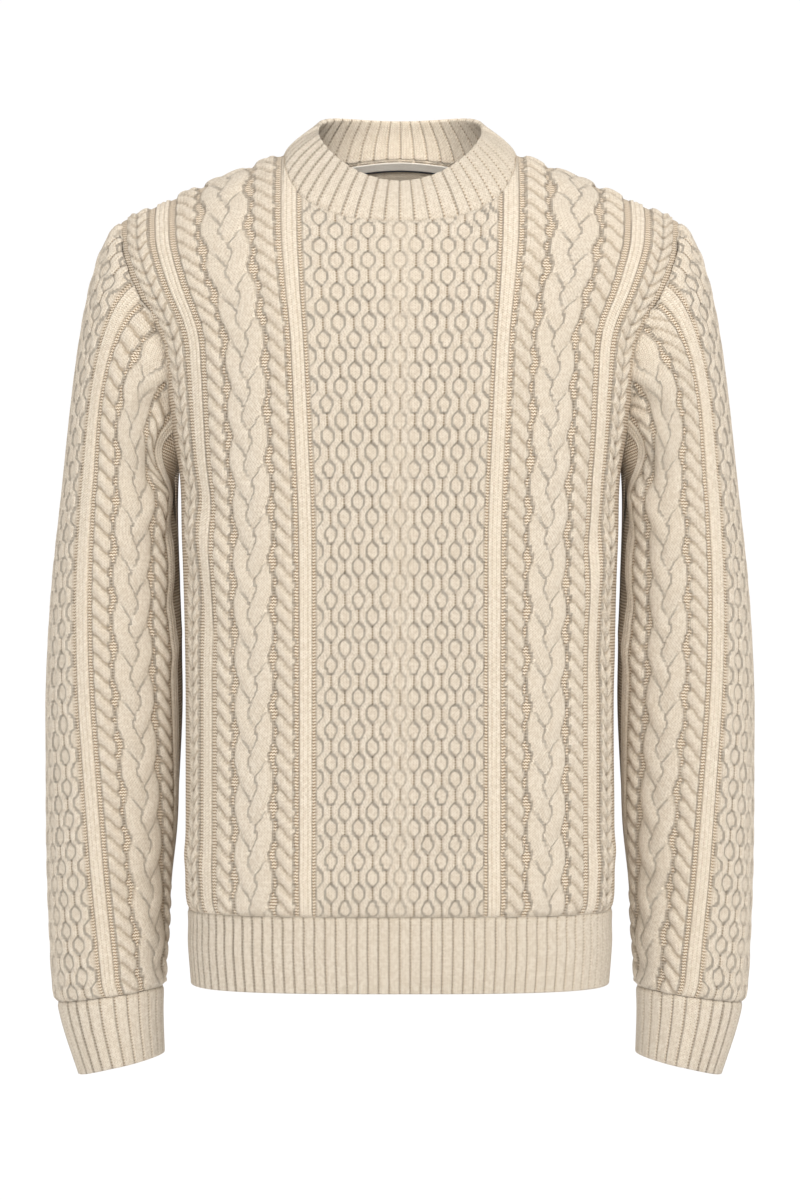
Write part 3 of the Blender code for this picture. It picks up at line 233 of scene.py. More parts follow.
BACK_FOLDS = (
    (-0.200, 0.345, -0.090, 0.300, 0.015, -0.0026),
    (-0.195, 0.315, -0.110, 0.240, 0.013, 0.0018),
    (0.200, 0.350, 0.105, 0.290, 0.014, -0.0024),
    (0.195, 0.310, 0.130, 0.215, 0.013, 0.0018),
    (-0.130, 0.034, 0.010, 0.024, 0.011, 0.0016),
    (0.020, 0.050, 0.160, 0.036, 0.012, -0.0014),
    (-0.050, 0.110, 0.120, 0.090, 0.018, -0.0016),
    (-0.160, 0.150, -0.030, 0.120, 0.017, 0.0014),
    (-0.060, 0.500, 0.060, 0.505, 0.030, -0.0014),
    (0.205, 0.190, 0.200, 0.070, 0.013, -0.0018),
    (-0.210, 0.210, -0.200, 0.090, 0.013, -0.0018),
)
SLEEVE_FOLDS = (
    (0.150, 0.525, 0.085, 0.465, 0.0085, -0.0034),
    (0.150, 0.500, 0.090, 0.440, 0.0080, 0.0024),
    (0.155, 0.475, 0.085, 0.410, 0.0090, -0.0032),
    (0.155, 0.445, 0.095, 0.385, 0.0085, 0.0020),
    (0.160, 0.410, 0.100, 0.350, 0.0095, -0.0026),
    (0.165, 0.340, 0.100, 0.310, 0.0110, -0.0024),
    (0.165, 0.305, 0.110, 0.270, 0.0100, 0.0020),
    (-0.150, 0.515, -0.090, 0.455, 0.0090, -0.0030),
    (-0.150, 0.485, -0.090, 0.430, 0.0085, 0.0022),
    (-0.155, 0.455, -0.085, 0.400, 0.0095, -0.0028),
    (-0.160, 0.330, -0.080, 0.290, 0.0120, -0.0028),
    (-0.160, 0.285, -0.090, 0.240, 0.0110, 0.0020),
    (0.120, 0.050, 0.020, 0.030, 0.010, 0.0020),
    (0.125, 0.022, 0.060, 0.012, 0.008, -0.0016),
    (-0.110, 0.045, -0.010, 0.026, 0.010, 0.0018),
    (-0.120, 0.075, -0.050, 0.060, 0.010, -0.0018),
    (0.110, 0.100, 0.050, 0.080, 0.011, -0.0018),
)

BAND_RAISE, BAND_STEPS = 0.0016, 8  # height of a band's ribs, and points across one
BAND_LAND = 0.78  # share of a rib's width that stands up, between narrow grooves
BAND_WALES, BAND_ROW = 3, 0.0027  # knit wales on a rib, and the step from row to row
INNER_RAISE, INNER_LEVEL, INNER_ROWS = 0.0012, 0.7, 10  # the collar is ribbed inside too
EDGE_TURNS, EDGE_ROUND = 4, 0.0012  # a band's free edge is round
EDGE_LOOK = 0.06  # the edge points the way that this share of the height runs

# Drops below the back neckline, reach to each side, lift off the inside of the back, and thickness
TAPE_REACH, LABEL_REACH = 0.080, 0.011
TAPE = (0.0100, 0.0012, TAPE_REACH, 0.0010, 0.0008)
TAPE_EDGE = (0.0116, 0.0103, TAPE_REACH, 0.0010, 0.0008)
LABEL = (0.0440, 0.0210, LABEL_REACH, 0.0028, 0.0006)
TAPE_ROW, TAPE_CUT, LABEL_CUT = 0.0011, 0.0104, 0.0230  # the tape's cut holds the edge woven in with it

# ---------------------------------------------------------------- how finely things are sampled
FINE_U, FINE_T, RIB_STEP, STRIP_STEP = 0.00180, 0.00206, 0.00093, 0.0024
LEVEL_ROWS = 0.75  # up to this share of a panel's length its rows are level
COARSE = 4  # the plain inside takes every fourth point
DENSE_U, DENSE_T, TOWARDS_TOP = 0.0025, 360, 1.7  # of the surfaces; their rows gather towards the top
LEVELS, TURNS, SECTION_COLUMNS, PANEL_ROWS = 260, 500, 240, 500
SLEEVE_LEVELS, CAP_RINGS, RING_POINTS, MEASURES = 150, 90, 721, 400
NECK_POINTS = 200
BESIDE, TURN_STEP, RISE_STEP, COLLAR_STEP = 0.0005, 0.01, 0.004, 0.05  # for reading directions off a surface
HEM_LEVEL = 0.010  # over this height above the hem the cloth's normals turn level
STILL_LEVEL, RUN_OUT = 0.999, 1e-4  # a sleeve's ring counts as level, and its wale lines as one, past these
SIDE_SHARE, TINY, NOTHING = 1e-4, 1e-6, 1e-12

# ---------------------------------------------------------------- looks
STITCHES = "stitches"  # vertex attribute: wales, courses, height in millimetres, 1 for knit and 0 for purl
SHADE_MARKS = "marks"  # vertex attribute: where painted shade goes, in the groove of the honeycomb and the crease of a cable
INSIDE_HEIGHT, INSIDE_PLAIN = 2.0, 0.6  # what the reverse side says in the first

WOOL_SURFACE = {"Roughness": 0.95, "Specular IOR Level": 0.25, "Sheen Weight": 0.12, "Sheen Roughness": 0.5}
YARN_DEEP, YARN_PALE, YARN_WARM = (0.71, 0.605, 0.475), (0.82, 0.725, 0.595), (0.79, 0.68, 0.53)
# Apart from the last, the colours on the next line are painted shade: for low ground, for the gaps between
# purl bars and along honeycomb grooves, and for stitch holes, borders and cable creases. The last is the
# yarn's own flecks.
RECESS_SHADE, GAP_SHADE, CREVICE_SHADE, FLECK = (0.74, 0.60, 0.44), (0.26, 0.155, 0.065), (0.36, 0.26, 0.16), (0.50, 0.40, 0.28)
V_SLANT, PURL_ROWS, PURL_SLANT = 1.6, 0.85, 0.9
LEG_SHARE, LOOP_POWER = 0.6, 0.6
STITCH_DEPTH, FIBRE_SHARE = 0.0007, 0.35
FIBRES, MOTTLE, WIDE, FLECKS = (2600.0, 3.0), (420.0, 2.0), (14.0, 2.0), (1500.0, 1.0)  # scale, detail
# Each fade runs from none of a colour to all of it, and its share says how much that all is
MOTTLE_FADE = (0.36, 0.64)
WIDE_FADE, WIDE_SHARE = (0.35, 0.70), 0.25
# Painted shade on stitches that lie low: the lower, the darker.
RECESS_SHADE_FADE, RECESS_SHADE_SHARE = (1.5, 0.2), 0.30
# Painted shade in the gaps between purl bars.
BAR_GAP_SHADE_FADE, BAR_GAP_SHADE_SHARE = (0.80, 0.35), 0.95
# Painted shade at the borders and in the holes of knit stitches, and in the creases of cables.
BORDER_SHADE_FADE, BORDER_LOOP_SHADE_FADE, BORDER_SHADE_SHARE = (0.36, 0.48), (0.95, 0.35), 0.5
HOLE_SHADE_FADE, HOLE_SHADE_SHARE = (0.50, 0.12), 0.40
CREASE_SHADE_SHARE = 0.60
# Painted shade dotted along the grooves where honeycomb strands meet.
GROOVE_SHADE_FADE, GROOVE_SHADE_ROW_FADE, GROOVE_SHADE_SHARE = (0.45, 0.85), (0.25, 0.80), 0.75
FLECK_FADE, FLECK_SHARE = (0.64, 0.72), 0.4

TAPE_COLOURS = ((0.86, 0.80, 0.71), (0.93, 0.88, 0.80))
DARK_COLOURS = ((0.012, 0.014, 0.022), (0.03, 0.033, 0.045))
THREADS, THREAD_NOISE, THREAD_SHARE, THREAD_FADE, THREAD_DEPTH = 5200.0, (900.0, 2.0), 0.3, (0.2, 0.8), 0.0002
TAPE_ROUGHNESS, DARK_ROUGHNESS = 0.8, 0.65

WHITE, BACKDROP_GLOW = (1.0, 1.0, 1.0, 1.0), 0.80
BACKDROP_SURFACE = {"Roughness": 0.9, "Emission Color": WHITE, "Emission Strength": BACKDROP_GLOW}
BACKDROP_NOISE, BACKDROP_SHARE, BACKDROP_COLOURS = (1.5, 2.0), 0.05, ((0.20,) * 3, (0.18,) * 3)
BOWL_RADIUS, BOWL_BEND, BOWL_TOP, FLOOR_Z = 8.0, 2.5, 7.0, -1.15
BEND_STEPS, BOWL_SIDES = 12, 96
WARM_LIGHT, COOL_LIGHT = (1.0, 0.98, 0.95), (0.98, 0.99, 1.0)
KEY_DISK, FRONT_DISK = {"shape": "DISK", "size": 1.2}, {"shape": "DISK", "size": 1.0}
NECK_SPOT = {"spot_size": math.radians(2.7), "spot_blend": 0.6, "shadow_soft_size": 0.03}
LIGHTS = (  # name, kind, place, aim, power, colour, form
    ("key", "AREA", (1.5, -2.2, 2.0), (0, 0, -0.35), 46.0, WARM_LIGHT, KEY_DISK),
    ("front", "AREA", (-0.5, -3.3, 0.25), (0, 0, -0.1), 34.0, COOL_LIGHT, FRONT_DISK),
    ("neck", "SPOT", (0, -2.6, 1.1), (0, 0.080, 0.002), 190.0, WARM_LIGHT, NECK_SPOT),
)
CAMERA_PLACE, CAMERA_LENS, FILM_WIDTH, FAR_CLIP = (0.0, -3.0, -0.361), 109.76, 36.0, 60.0


# ---------------------------------------------------------------- curves and grids
def hermite(f, start, leave, end, arrive, step=1.0):
    """A smooth run from start to end, step long, whose direction is given at both."""
    return (
        (2 * f**3 - 3 * f**2 + 1) * start
        + (f**3 - 2 * f**2 + f) * step * leave
        + (3 * f**2 - 2 * f**3) * end
        + (f**3 - f**2) * step * arrive
    )


def lookup(table, at, column=1):
    """A smooth curve through one column of a table whose first column rises."""
    x, y = table[:, 0], table[:, column]
    rise = np.diff(y) / np.diff(x)
    flat = np.r_[False, rise[:-1] * rise[1:] <= 0, False]
    slope = np.where(flat, 0.0, np.gradient(y, x))
    at = np.clip(at, x[0], x[-1])
    i = np.clip(np.searchsorted(x, at) - 1, 0, len(x) - 2)
    step = x[i + 1] - x[i]
    return hermite((at - x[i]) / step, y[i], slope[i], y[i + 1], slope[i + 1], step)


def smooth(f):
    f = np.clip(f, 0.0, 1.0)
    return f * f * (3 - 2 * f)


def dome(distance, radius):
    return np.sqrt(np.clip(1 - (distance / radius) ** 2, 0, 1))


def swing(angle, sharpness=0.6):
    """A sine with flatter ends: a strand that crosses quickly and then runs on beside its neighbour."""
    s = np.sin(angle)
    return s * math.sqrt(1 + sharpness**2) / np.sqrt(s**2 + sharpness**2)


def unit(v):
    return v / np.maximum(np.linalg.norm(v, axis=-1, keepdims=True), NOTHING)


def wrap(angle):
    return (angle + math.pi) % (2 * math.pi) - math.pi


def lengths(points):
    """How far along its row every point lies."""
    step = np.hypot.reduce(np.diff(points, axis=-2), axis=-1)
    return np.concatenate([np.zeros(step.shape[:-1] + (1,)), np.cumsum(step, axis=-1)], axis=-1)


def both_ways(half):
    """Wale coordinates from one edge to the other, given those from the middle out."""
    return np.r_[-half[:0:-1], half]


def between_nodes(at, count):
    """The node at or before each place on an axis of count nodes, and the share of the way to the next."""
    node = np.clip(np.floor(at).astype(int), 0, count - 2)
    return node, at - node


def blended(grid, i, j, f, g):
    """Values of a grid between its nodes, shares f and g of the way past node i, j."""
    f, g = f[..., None], g[..., None]
    near = (1 - g) * grid[i, j] + g * grid[i, j + 1]
    far = (1 - g) * grid[i + 1, j] + g * grid[i + 1, j + 1]
    return (1 - f) * near + f * far


# ---------------------------------------------------------------- the raised stitches
class Knitting:
    """Height over the purl ground, and the strand on top: how many wales a point lies from its middle.
    plain is 1 on knit stitches, groove is 1 where two strands of the honeycomb lie edge to edge, and
    crease is 1 where one lobe of a cable goes under the next. The groove also sinks the cloth; both
    groove and crease mark where painted shade goes."""

    def __init__(self, u, t):
        self.u, self.t = u, t
        self.wales = u / PURL_WALE
        self.height, self.plain, self.groove, self.crease = (np.zeros(u.shape) for _ in range(4))

    def lay(self, height, across, wale):
        """A strand goes over what is there where it is the higher."""
        over = height > self.height + TINY
        self.height = np.where(over, height, self.height)
        self.wales = np.where(over, across / wale + 0.5, self.wales)
        self.plain = np.where(over, 1.0, self.plain)

    def honeycomb(self, honey):
        """Strands that sway together and apart round small cells of knit stitches."""
        x = self.u
        self.lay(np.where(np.abs(x) <= honey, HONEY_FLOOR, 0.0), x, CABLE_WALE)
        strand = np.floor(x / HONEY_PITCH)
        sway = swing(2 * math.pi * self.t / HONEY_PERIOD)
        for k in (strand - 1, strand, strand + 1):
            way = 1 - 2 * np.mod(k, 2)
            across = x - (k + 0.5) * HONEY_PITCH - way * HONEY_SWAY * sway
            own = np.abs((k + 0.5) * HONEY_PITCH) < honey
            self.lay(np.where(own, HONEY_RAISE * dome(across, HONEY_WIDE), 0), across, CABLE_WALE)
        border = np.round(x / HONEY_PITCH)
        near = 1 - np.abs(x - border * HONEY_PITCH) / (HONEY_PITCH / HONEY_STEPS)
        met = smooth(GROOVE_MEET - sway * (1 - 2 * np.mod(border, 2)))
        own = (np.abs(border) + 0.5) * HONEY_PITCH < honey
        self.groove = np.clip(near, 0, 1) * met * own
        self.height = self.height - GROOVE_DEPTH * self.groove

    def rope(self, x, half, period, slant, lean, share=1.0):
        """Slanted lobes, one a crossing; lean +1 runs from upper left to lower right."""
        reach = np.clip(x / half, -1, 1)
        down = lean * slant / 2 / period * swing(math.pi / 2 * reach, ROPE_BEND)
        lobe = np.abs(np.cos(math.pi * (self.t / period + down))) ** ROPE_PUFF
        side = dome(x, half * (ROPE_WAIST + (1 - ROPE_WAIST) * lobe)) ** ROPE_EDGE
        self.lay(share * side * (ROPE_LOW + (ROPE_HIGH - ROPE_LOW) * lobe), x, CABLE_WALE)
        # Where painted shade goes: the crease where one lobe goes under the next.
        crease = (np.abs(reach) < CREASE_REACH) * smooth((CREASE_START - lobe) / CREASE_FADE)
        self.crease = np.maximum(self.crease, crease)

    def plait(self, x):
        for k in range(3):
            turn = -2 * math.pi * (self.t / (3 * PLAIT_PERIOD) + k / 3)
            across = x - PLAIT_SWAY * np.sin(turn)
            high = PLAIT_RAISE - PLAIT_LIFT * np.sin(2 * turn)
            self.lay(high * dome(across, PLAIT_STRAND) ** PLAIT_EDGE, across, PLAIT_WALE)

    def double(self, x):
        """Two mirrored ropes side by side, whose strands meet in a row of V shapes."""
        half = COLUMN_HALF["double"] / 2
        for lean in (1, -1):
            self.rope(x + lean * half, half, DOUBLE_PERIOD, DOUBLE_SLANT, lean, DOUBLE_RAISE)

    def rib(self, x):
        from_middle = np.abs(np.mod(x / RIB_WALE + 0.5, 1) - 0.5)
        groove = 1 - RIB_GROOVE * smooth((from_middle - RIB_LAND) / RIB_FADE)
        self.lay(RIB_RAISE * smooth((RIB_WIDE - np.abs(x)) / RIB_EDGE) * groove, x, RIB_WALE)


def knitted(u, t, honey, motifs, hand):
    """The whole pattern. hand is +1 where u grows to the right of someone looking at the cloth."""
    cloth = Knitting(u, t)
    cloth.honeycomb(honey)
    for kind, middle in motifs:
        for side in (-1, 1):
            x = u - side * middle
            if kind == "rib":
                cloth.rib(x)
            elif kind == "rope":
                cloth.rope(x, ROPE_WIDE, ROPE_PERIOD, ROPE_SLANT, hand)
            elif kind == "plait":
                cloth.plait(side * x)
            else:
                cloth.double(x)
    return cloth


def creased(u, t, folds):
    """Soft troughs and ridges: each row of a table is one fold, slightly bowed, and fading at both ends."""
    depth = np.zeros(u.shape)
    for u0, t0, u1, t1, half_width, high in folds:
        length = math.hypot(u1 - u0, t1 - t0)
        along = (u1 - u0) / length, (t1 - t0) / length
        ahead = ((u - u0) * along[0] + (t - t0) * along[1]) / length
        aside = (t - t0) * along[0] - (u - u0) * along[1]
        bow = FOLD_BOW * half_width * np.sin(math.pi * np.clip(ahead, 0, 1))
        ends = smooth(ahead / FOLD_FADE + FOLD_START) * smooth((1 - ahead) / FOLD_FADE + FOLD_START)
        depth = depth + high * ends * np.exp(-(((aside - bow) / half_width) ** 2))
    return depth


def sunk(height, to_end, to_edge):
    """The stitches sink towards the seams at both ends of the wales, and the cloth dips into every seam."""
    kept = SEAM_SHARE + (1 - SEAM_SHARE) * smooth(to_end / SEAM_FADE)
    return height * kept - SEAM_DIP * (1 - smooth(to_edge / SEAM_REACH))


# ---------------------------------------------------------------- the torso's surface
def shoulder_line(x):
    return SHOULDER_SLOPE * (SHOULDER_CROWN - np.sqrt(x**2 + SHOULDER_ROUND**2))


def neck_or_shoulder(x, side):
    drop = shoulder_line(0.0) - NECK_Z[side]
    return shoulder_line(x) - drop * np.clip(1 - (x / NECK_HALF_WIDTH) ** 2, 0, 1) ** NECK_CURVE


def lean_share(x, z, side):
    """What is left of the depth where a side leans in to the shoulder line."""
    over = np.clip(1 - (shoulder_line(x) - z) / LEAN_HEIGHT[side], 0, 1)
    return np.sqrt(1 - over**2)


class Torso:
    """Horizontal sections are rounded boxes, measured round from the centre line. Towards the shoulder
    line the front and back lean in until they meet at the shoulder seam."""

    def __init__(self, side):
        self.side = side
        self.levels = np.linspace(HEM_Z, TOP_Z, LEVELS)
        self.step = self.levels[1] - self.levels[0]
        turn = np.linspace(0, math.pi / 2, TURNS)
        x = lookup(TORSO, self.levels, BODY_WIDTH)[:, None] * np.sin(turn) ** (2 / SECTION_POWER)
        y = lookup(TORSO, self.levels, BODY_DEPTH[side])[:, None] * np.cos(turn) ** (2 / SECTION_POWER)
        arc = lengths(np.stack([x, y], axis=-1))
        self.length = arc[:, -1]
        share = np.linspace(0, 1, SECTION_COLUMNS)
        even = [[np.interp(share * a[-1], a, row) for a, row in zip(arc, rows)] for rows in (x, y)]
        self.section = np.stack(even, axis=-1)
        seam = lookup(ARMHOLE, self.levels)
        at_seam = np.array([np.interp(s, row, a) for s, row, a in zip(seam, x, arc)])
        self.edge = np.where(self.levels < UNDERARM_Z, self.length, at_seam)
        strip_below = self.length - (SIDE_U - DOUBLE_OUTER)
        strip_above = self.edge - (EDGE_U - DOUBLE_OUTER)
        low = np.interp(UNDERARM_Z, self.levels, strip_below)
        high = np.interp(STRIP_END_Z, self.levels, strip_above)
        between = np.interp(self.levels, (UNDERARM_Z, STRIP_END_Z), (low, high))
        above = np.where(self.levels < STRIP_END_Z, np.minimum(between, strip_above), strip_above)
        self.outer = np.where(self.levels < UNDERARM_Z, strip_below, above)
        self.corner = self.neck_corner()

    def place(self, u, z):
        """x and y on the surface, before the lean towards the shoulder, for u of zero or more."""
        outer = np.interp(z, self.levels, self.outer)
        honey = FAN_HALF * lookup(FAN, z)
        between = honey + (u - FAN_HALF) / (DOUBLE_OUTER - FAN_HALF) * (outer - honey)
        arc = np.where(u < FAN_HALF, u * honey / FAN_HALF, between)
        arc = np.where(u < DOUBLE_OUTER, arc, outer + u - DOUBLE_OUTER)
        share = np.clip(arc / np.interp(z, self.levels, self.length), 0, 1)
        i, f = between_nodes((z - HEM_Z) / self.step, LEVELS)
        j, g = between_nodes(share * (SECTION_COLUMNS - 1), SECTION_COLUMNS)
        return blended(self.section, i, j, f, g)

    def point(self, u, z):
        place = self.place(u, z)
        x, y = place[..., 0], place[..., 1]
        return np.stack([x, self.side * y * lean_share(x, z, self.side), z], axis=-1)

    def top(self, u):
        """Height where each wale line ends, at the neckline, the shoulder seam or the armhole."""
        low, high = np.full(u.shape, LOW_TOP_Z), np.full(u.shape, TOP_Z)
        for _ in range(50):
            z = (low + high) / 2
            above = z > neck_or_shoulder(self.place(u, z)[..., 0], self.side)
            low, high = np.where(above, low, z), np.where(above, z, high)
        beside = (self.levels > UNDERARM_Z - self.step) & (self.levels < STRIP_END_Z)
        strip = np.minimum.accumulate((self.edge - self.outer)[beside])
        cut = np.interp(DOUBLE_OUTER - u, -strip, self.levels[beside])
        return np.where(u > EDGE_U + TINY, cut, low)

    def neck_corner(self):
        """Wale coordinate where the neckline meets the shoulder seam."""
        u = np.linspace(*CORNER_BETWEEN, MEASURES)
        x = self.place(u, self.top(u))[..., 0]
        return float(np.interp(NECK_HALF_WIDTH, x, u))


class Cloth:
    """A surface sampled on wale lines: for each u, points and normals at even shares of its length."""

    def __init__(self, u, points, normals, start=0):
        self.u = u
        length = lengths(points)
        self.first, self.last = length[np.arange(len(u)), start], length[:, -1]
        share = np.linspace(0, 1, DENSE_T)
        given = np.concatenate([points, normals], axis=2)
        self.grid = np.empty((len(u), DENSE_T, 6))
        for k in range(len(u)):
            at = self.first[k] + share * (self.last[k] - self.first[k])
            for axis in range(6):
                self.grid[k, :, axis] = np.interp(at, length[k], given[k, :, axis])

    def span(self, u):
        return np.interp(u, self.u, self.first), np.interp(u, self.u, self.last)

    def at(self, u, t):
        """Points and normals at each u and t."""
        u, t = np.broadcast_arrays(u, t)
        first, last = self.span(u)
        share = np.clip((t - first) / np.maximum(last - first, NOTHING), 0, 1)
        j, g = between_nodes(share * (DENSE_T - 1), DENSE_T)
        k = np.clip(np.searchsorted(self.u, u, side="right") - 1, 0, len(self.u) - 2)
        f = np.clip((u - self.u[k]) / (self.u[k + 1] - self.u[k]), 0, 1)
        found = blended(self.grid, k, j, f, g)
        return found[..., :3], unit(found[..., 3:])


def torso_cloth(torso):
    half = np.unique(np.r_[np.arange(0, SIDE_U, DENSE_U), EDGE_U, PAST_EDGE_U, SIDE_U, torso.corner])
    top = torso.top(half)[:, None]
    z = top - np.linspace(1, 0, PANEL_ROWS) ** TOWARDS_TOP * (top - HEM_SEAM_Z)
    wale = np.broadcast_to(half[:, None], z.shape)
    points = torso.point(wale, z)
    across = torso.point(np.minimum(wale + BESIDE, SIDE_U), z) - torso.point(np.maximum(wale - BESIDE, 0), z)
    normals = unit(np.cross(across, np.gradient(points, axis=1)))
    normals *= np.sign(torso.side * normals[0, PANEL_ROWS // 2, 1])
    normals[..., 2] *= smooth((z - HEM_SEAM_Z) / HEM_LEVEL)
    normals[0, :, 0] = 0
    normals[-1] = (1, 0, 0)
    normals[half >= torso.corner - TINY, -1, 1] = 0
    normals[half > EDGE_U, -1, 1] = normals[half > EDGE_U, -2, 1]
    points, normals = (
        np.concatenate([given[:0:-1] * np.array([-1, 1, 1]), given]) for given in (points, unit(normals))
    )
    return Cloth(both_ways(half), points, normals)


# ---------------------------------------------------------------- the sleeve's surface
def armhole_point(angle):
    """On the armhole seam; angle 0 at the shoulder tip, 180 degrees at the underarm, front positive."""
    z = LOOP_MID_Z + LOOP_HALF_HEIGHT * np.cos(angle)
    x = lookup(ARMHOLE, z)
    box = np.clip(1 - (x / lookup(TORSO, z, BODY_WIDTH)) ** SECTION_POWER, 0, 1) ** (1 / SECTION_POWER)
    deep = [lookup(TORSO, z, BODY_DEPTH[side]) * box * lean_share(x, z, side) for side in (FRONT, BACK)]
    return np.stack([x - ARMHOLE_LAP, np.where(angle > 0, -deep[0], deep[1]), z], axis=-1)


def section_point(z, angle):
    """On the level section of the sleeve at z, which hangs a little lower outside towards the wrist."""
    cos, sin = np.cos(angle), np.sin(angle)
    power = 2 / SLEEVE_POWER
    x = lookup(SLEEVE, z, CENTRE_X) + lookup(SLEEVE, z, HALF_ACROSS) * np.sign(cos) * np.abs(cos) ** power
    y = lookup(SLEEVE, z, CENTRE_Y) - lookup(SLEEVE, z, HALF_DEEP) * np.sign(sin) * np.abs(sin) ** power
    wrist = smooth((TILT_START_Z - z) / (TILT_START_Z - SLEEVE_END_Z))
    below = np.clip((SLEEVE_END_Z - z) / (SLEEVE_END_Z - CUFF_Z), 0, 1)
    tilt = TILT_SEAM * wrist + (TILT_END - TILT_SEAM) * below
    return np.stack([x, y, z - tilt * cos], axis=-1)


def level_ring(z, angle):
    return section_point(np.full(angle.shape, z), angle)


def cap_ring(f, angle):
    """A ring that turns from the level section at f = 1 until it lies in the armhole at f = 0."""
    start, end = armhole_point(angle), level_ring(SLEEVE_START_Z, angle)
    out = (1 + np.cos(angle))[:, None] / 2
    leave = out * LEAVE_TOP + (1 - out) * LEAVE_UNDER + np.sin(angle)[:, None] * LEAVE_FLARE
    reach = np.linalg.norm(end - start, axis=1, keepdims=True)
    arrive = unit(level_ring(SLEEVE_START_Z - RISE_STEP, angle) - end) * reach
    return hermite(f, start, leave, end, arrive)


def sleeve_cloth():
    """Wale lines keep their distance along the sleeve, and spread evenly round the cap towards its seam."""
    u = both_ways(np.unique(np.round(np.r_[np.arange(0, SLEEVE_U, DENSE_U), SLEEVE_U], 7)))
    turn = np.linspace(-math.pi, math.pi, RING_POINTS)
    levels = np.linspace(SLEEVE_END_Z, SLEEVE_START_Z, SLEEVE_LEVELS)
    parts = [(level_ring, z, 1.0, lookup(SLEEVE_TWIST, z)) for z in levels]
    parts += [(cap_ring, f, smooth(f), CAP_TWIST * smooth(f)) for f in np.linspace(1, 0, CAP_RINGS)[1:]]
    rings, starts = [], np.zeros(len(u), dtype=int)
    for i, (ring_at, place, share, twist) in enumerate(parts):
        ring = ring_at(place, wrap(turn + math.radians(twist)))
        arc = lengths(ring)
        arc -= np.interp(0, turn, arc)
        half = min(-arc[0], arc[-1])
        starts = np.where((np.abs(u) > half) & (share > STILL_LEVEL), i + 1, starts)
        by_arc = np.interp(np.clip(u, -half, half), arc, turn)
        by_fan = np.interp(u / SLEEVE_U * half, arc, turn)
        at = share * by_arc + (1 - share) * by_fan
        rings.append(np.stack([np.interp(at, turn, ring[:, axis]) for axis in range(3)], axis=-1))
    points = np.array(rings).transpose(1, 0, 2)
    return Cloth(u, points, sleeve_normals(points), starts)


def sleeve_normals(points):
    """Outward normals, read across the rings where wale lines have run out at the seam."""
    across = np.zeros_like(points)
    across[1:-1] = points[2:] - points[:-2]
    across[0], across[-1] = points[1] - points[0], points[-1] - points[-2]
    short = np.linalg.norm(across, axis=2) < RUN_OUT
    for i in range(points.shape[1]):
        good = np.flatnonzero(~short[:, i])
        for k in np.flatnonzero(short[:, i]):
            across[k, i] = across[good[np.argmin(np.abs(good - k))], i]
    return unit(np.cross(np.gradient(points, axis=1), across))


# ---------------------------------------------------------------- the bands' surfaces, s round and v up
def hem_ring(torso):
    def at(s, v):
        signed = 2 * s - 1
        z = HEM_Z + v * (HEM_SEAM_Z - HEM_Z)
        i, _ = between_nodes((z - HEM_Z) / torso.step, LEVELS)
        j, g = between_nodes(np.abs(signed) * (SECTION_COLUMNS - 1), SECTION_COLUMNS)
        here, after = torso.section[i, j].T, torso.section[i, j + 1].T
        (x, y), (dx, dy) = (1 - g) * here + g * after, after - here
        normals = unit(np.stack([-dy, dx, 0 * x], axis=-1))
        normals[np.abs(signed) > 1 - SIDE_SHARE] = (1, 0, 0)
        mirror = np.stack([np.where(signed < 0, -1, 1), 0 * s + torso.side, 0 * s + 1], axis=-1)
        return np.stack([x, y, z], axis=-1) * mirror, normals * mirror

    return at


def cuff_ring(s, v):
    turn = (2 * s - 1) * math.pi
    z = CUFF_Z + v * (CUFF_SEAM_Z - CUFF_Z)
    across = unit(section_point(z, turn + TURN_STEP) - section_point(z, turn - TURN_STEP))
    up = unit(section_point(z + RISE_STEP, turn) - section_point(z - RISE_STEP, turn))
    normals = unit(np.cross(up, across))
    slope = (TILT_SEAM + (1 - v) * (TILT_END - TILT_SEAM)) / lookup(SLEEVE, z, HALF_ACROSS)
    tilt = unit(np.stack([slope, 0 * s, 0 * s + 1], axis=-1))
    return section_point(z, turn), unit(normals - (normals * tilt).sum(axis=1, keepdims=True) * tilt)


def neck_edge(cloth, corner):
    """How far out each wale line of a panel meets the neckline."""
    u = np.linspace(0, corner, NECK_POINTS)
    return cloth.at(u, cloth.span(u)[1])[0][:, 0], u


def neck_base(angle):
    """On the neckline; angle 0 at the front centre, growing towards +X. Returns points just past the
    panel's edge, and the panel's normals."""
    points, normals = np.zeros(angle.shape + (3,)), np.zeros(angle.shape + (3,))
    mirror = np.where(np.sin(angle) < 0, -1, 1)
    for side in (FRONT, BACK):
        cloth, (edge_x, edge_u) = PANELS[side], NECK_EDGES[side]
        here = (np.cos(angle) >= 0) == (side == FRONT)
        at = np.interp(NECK_HALF_WIDTH * np.abs(np.sin(angle)), edge_x, edge_u)
        p, n = cloth.at(at, cloth.span(at)[1])
        ahead, behind = np.minimum(at + BESIDE, edge_u[-1]), np.maximum(at - BESIDE, 0)
        along = cloth.at(ahead, cloth.span(ahead)[1])[0] - cloth.at(behind, cloth.span(behind)[1])[0]
        aside = unit(np.cross(n, along))
        to_middle = np.array([0, 0, NECK_MIDDLE_Z]) - p * np.array([1, 1, 0])
        inward = np.sign((aside * to_middle).sum(axis=1, keepdims=True))
        p = p - NECK_LAP * aside * inward
        p[:, 0] *= mirror
        n[:, 0] *= mirror
        points[here], normals[here] = p[here], n[here]
    return points, normals


def collar_top(angle):
    cos = np.cos(angle)
    bow = (COLLAR_FRONT_Z + COLLAR_BACK_Z) / 2 - COLLAR_SIDE_Z
    z = COLLAR_SIDE_Z + (COLLAR_FRONT_Z - COLLAR_BACK_Z) / 2 * cos + bow * cos**2
    return np.stack([COLLAR_HALF_WIDTH * np.sin(angle), -COLLAR_DEPTH * cos, z], axis=-1)


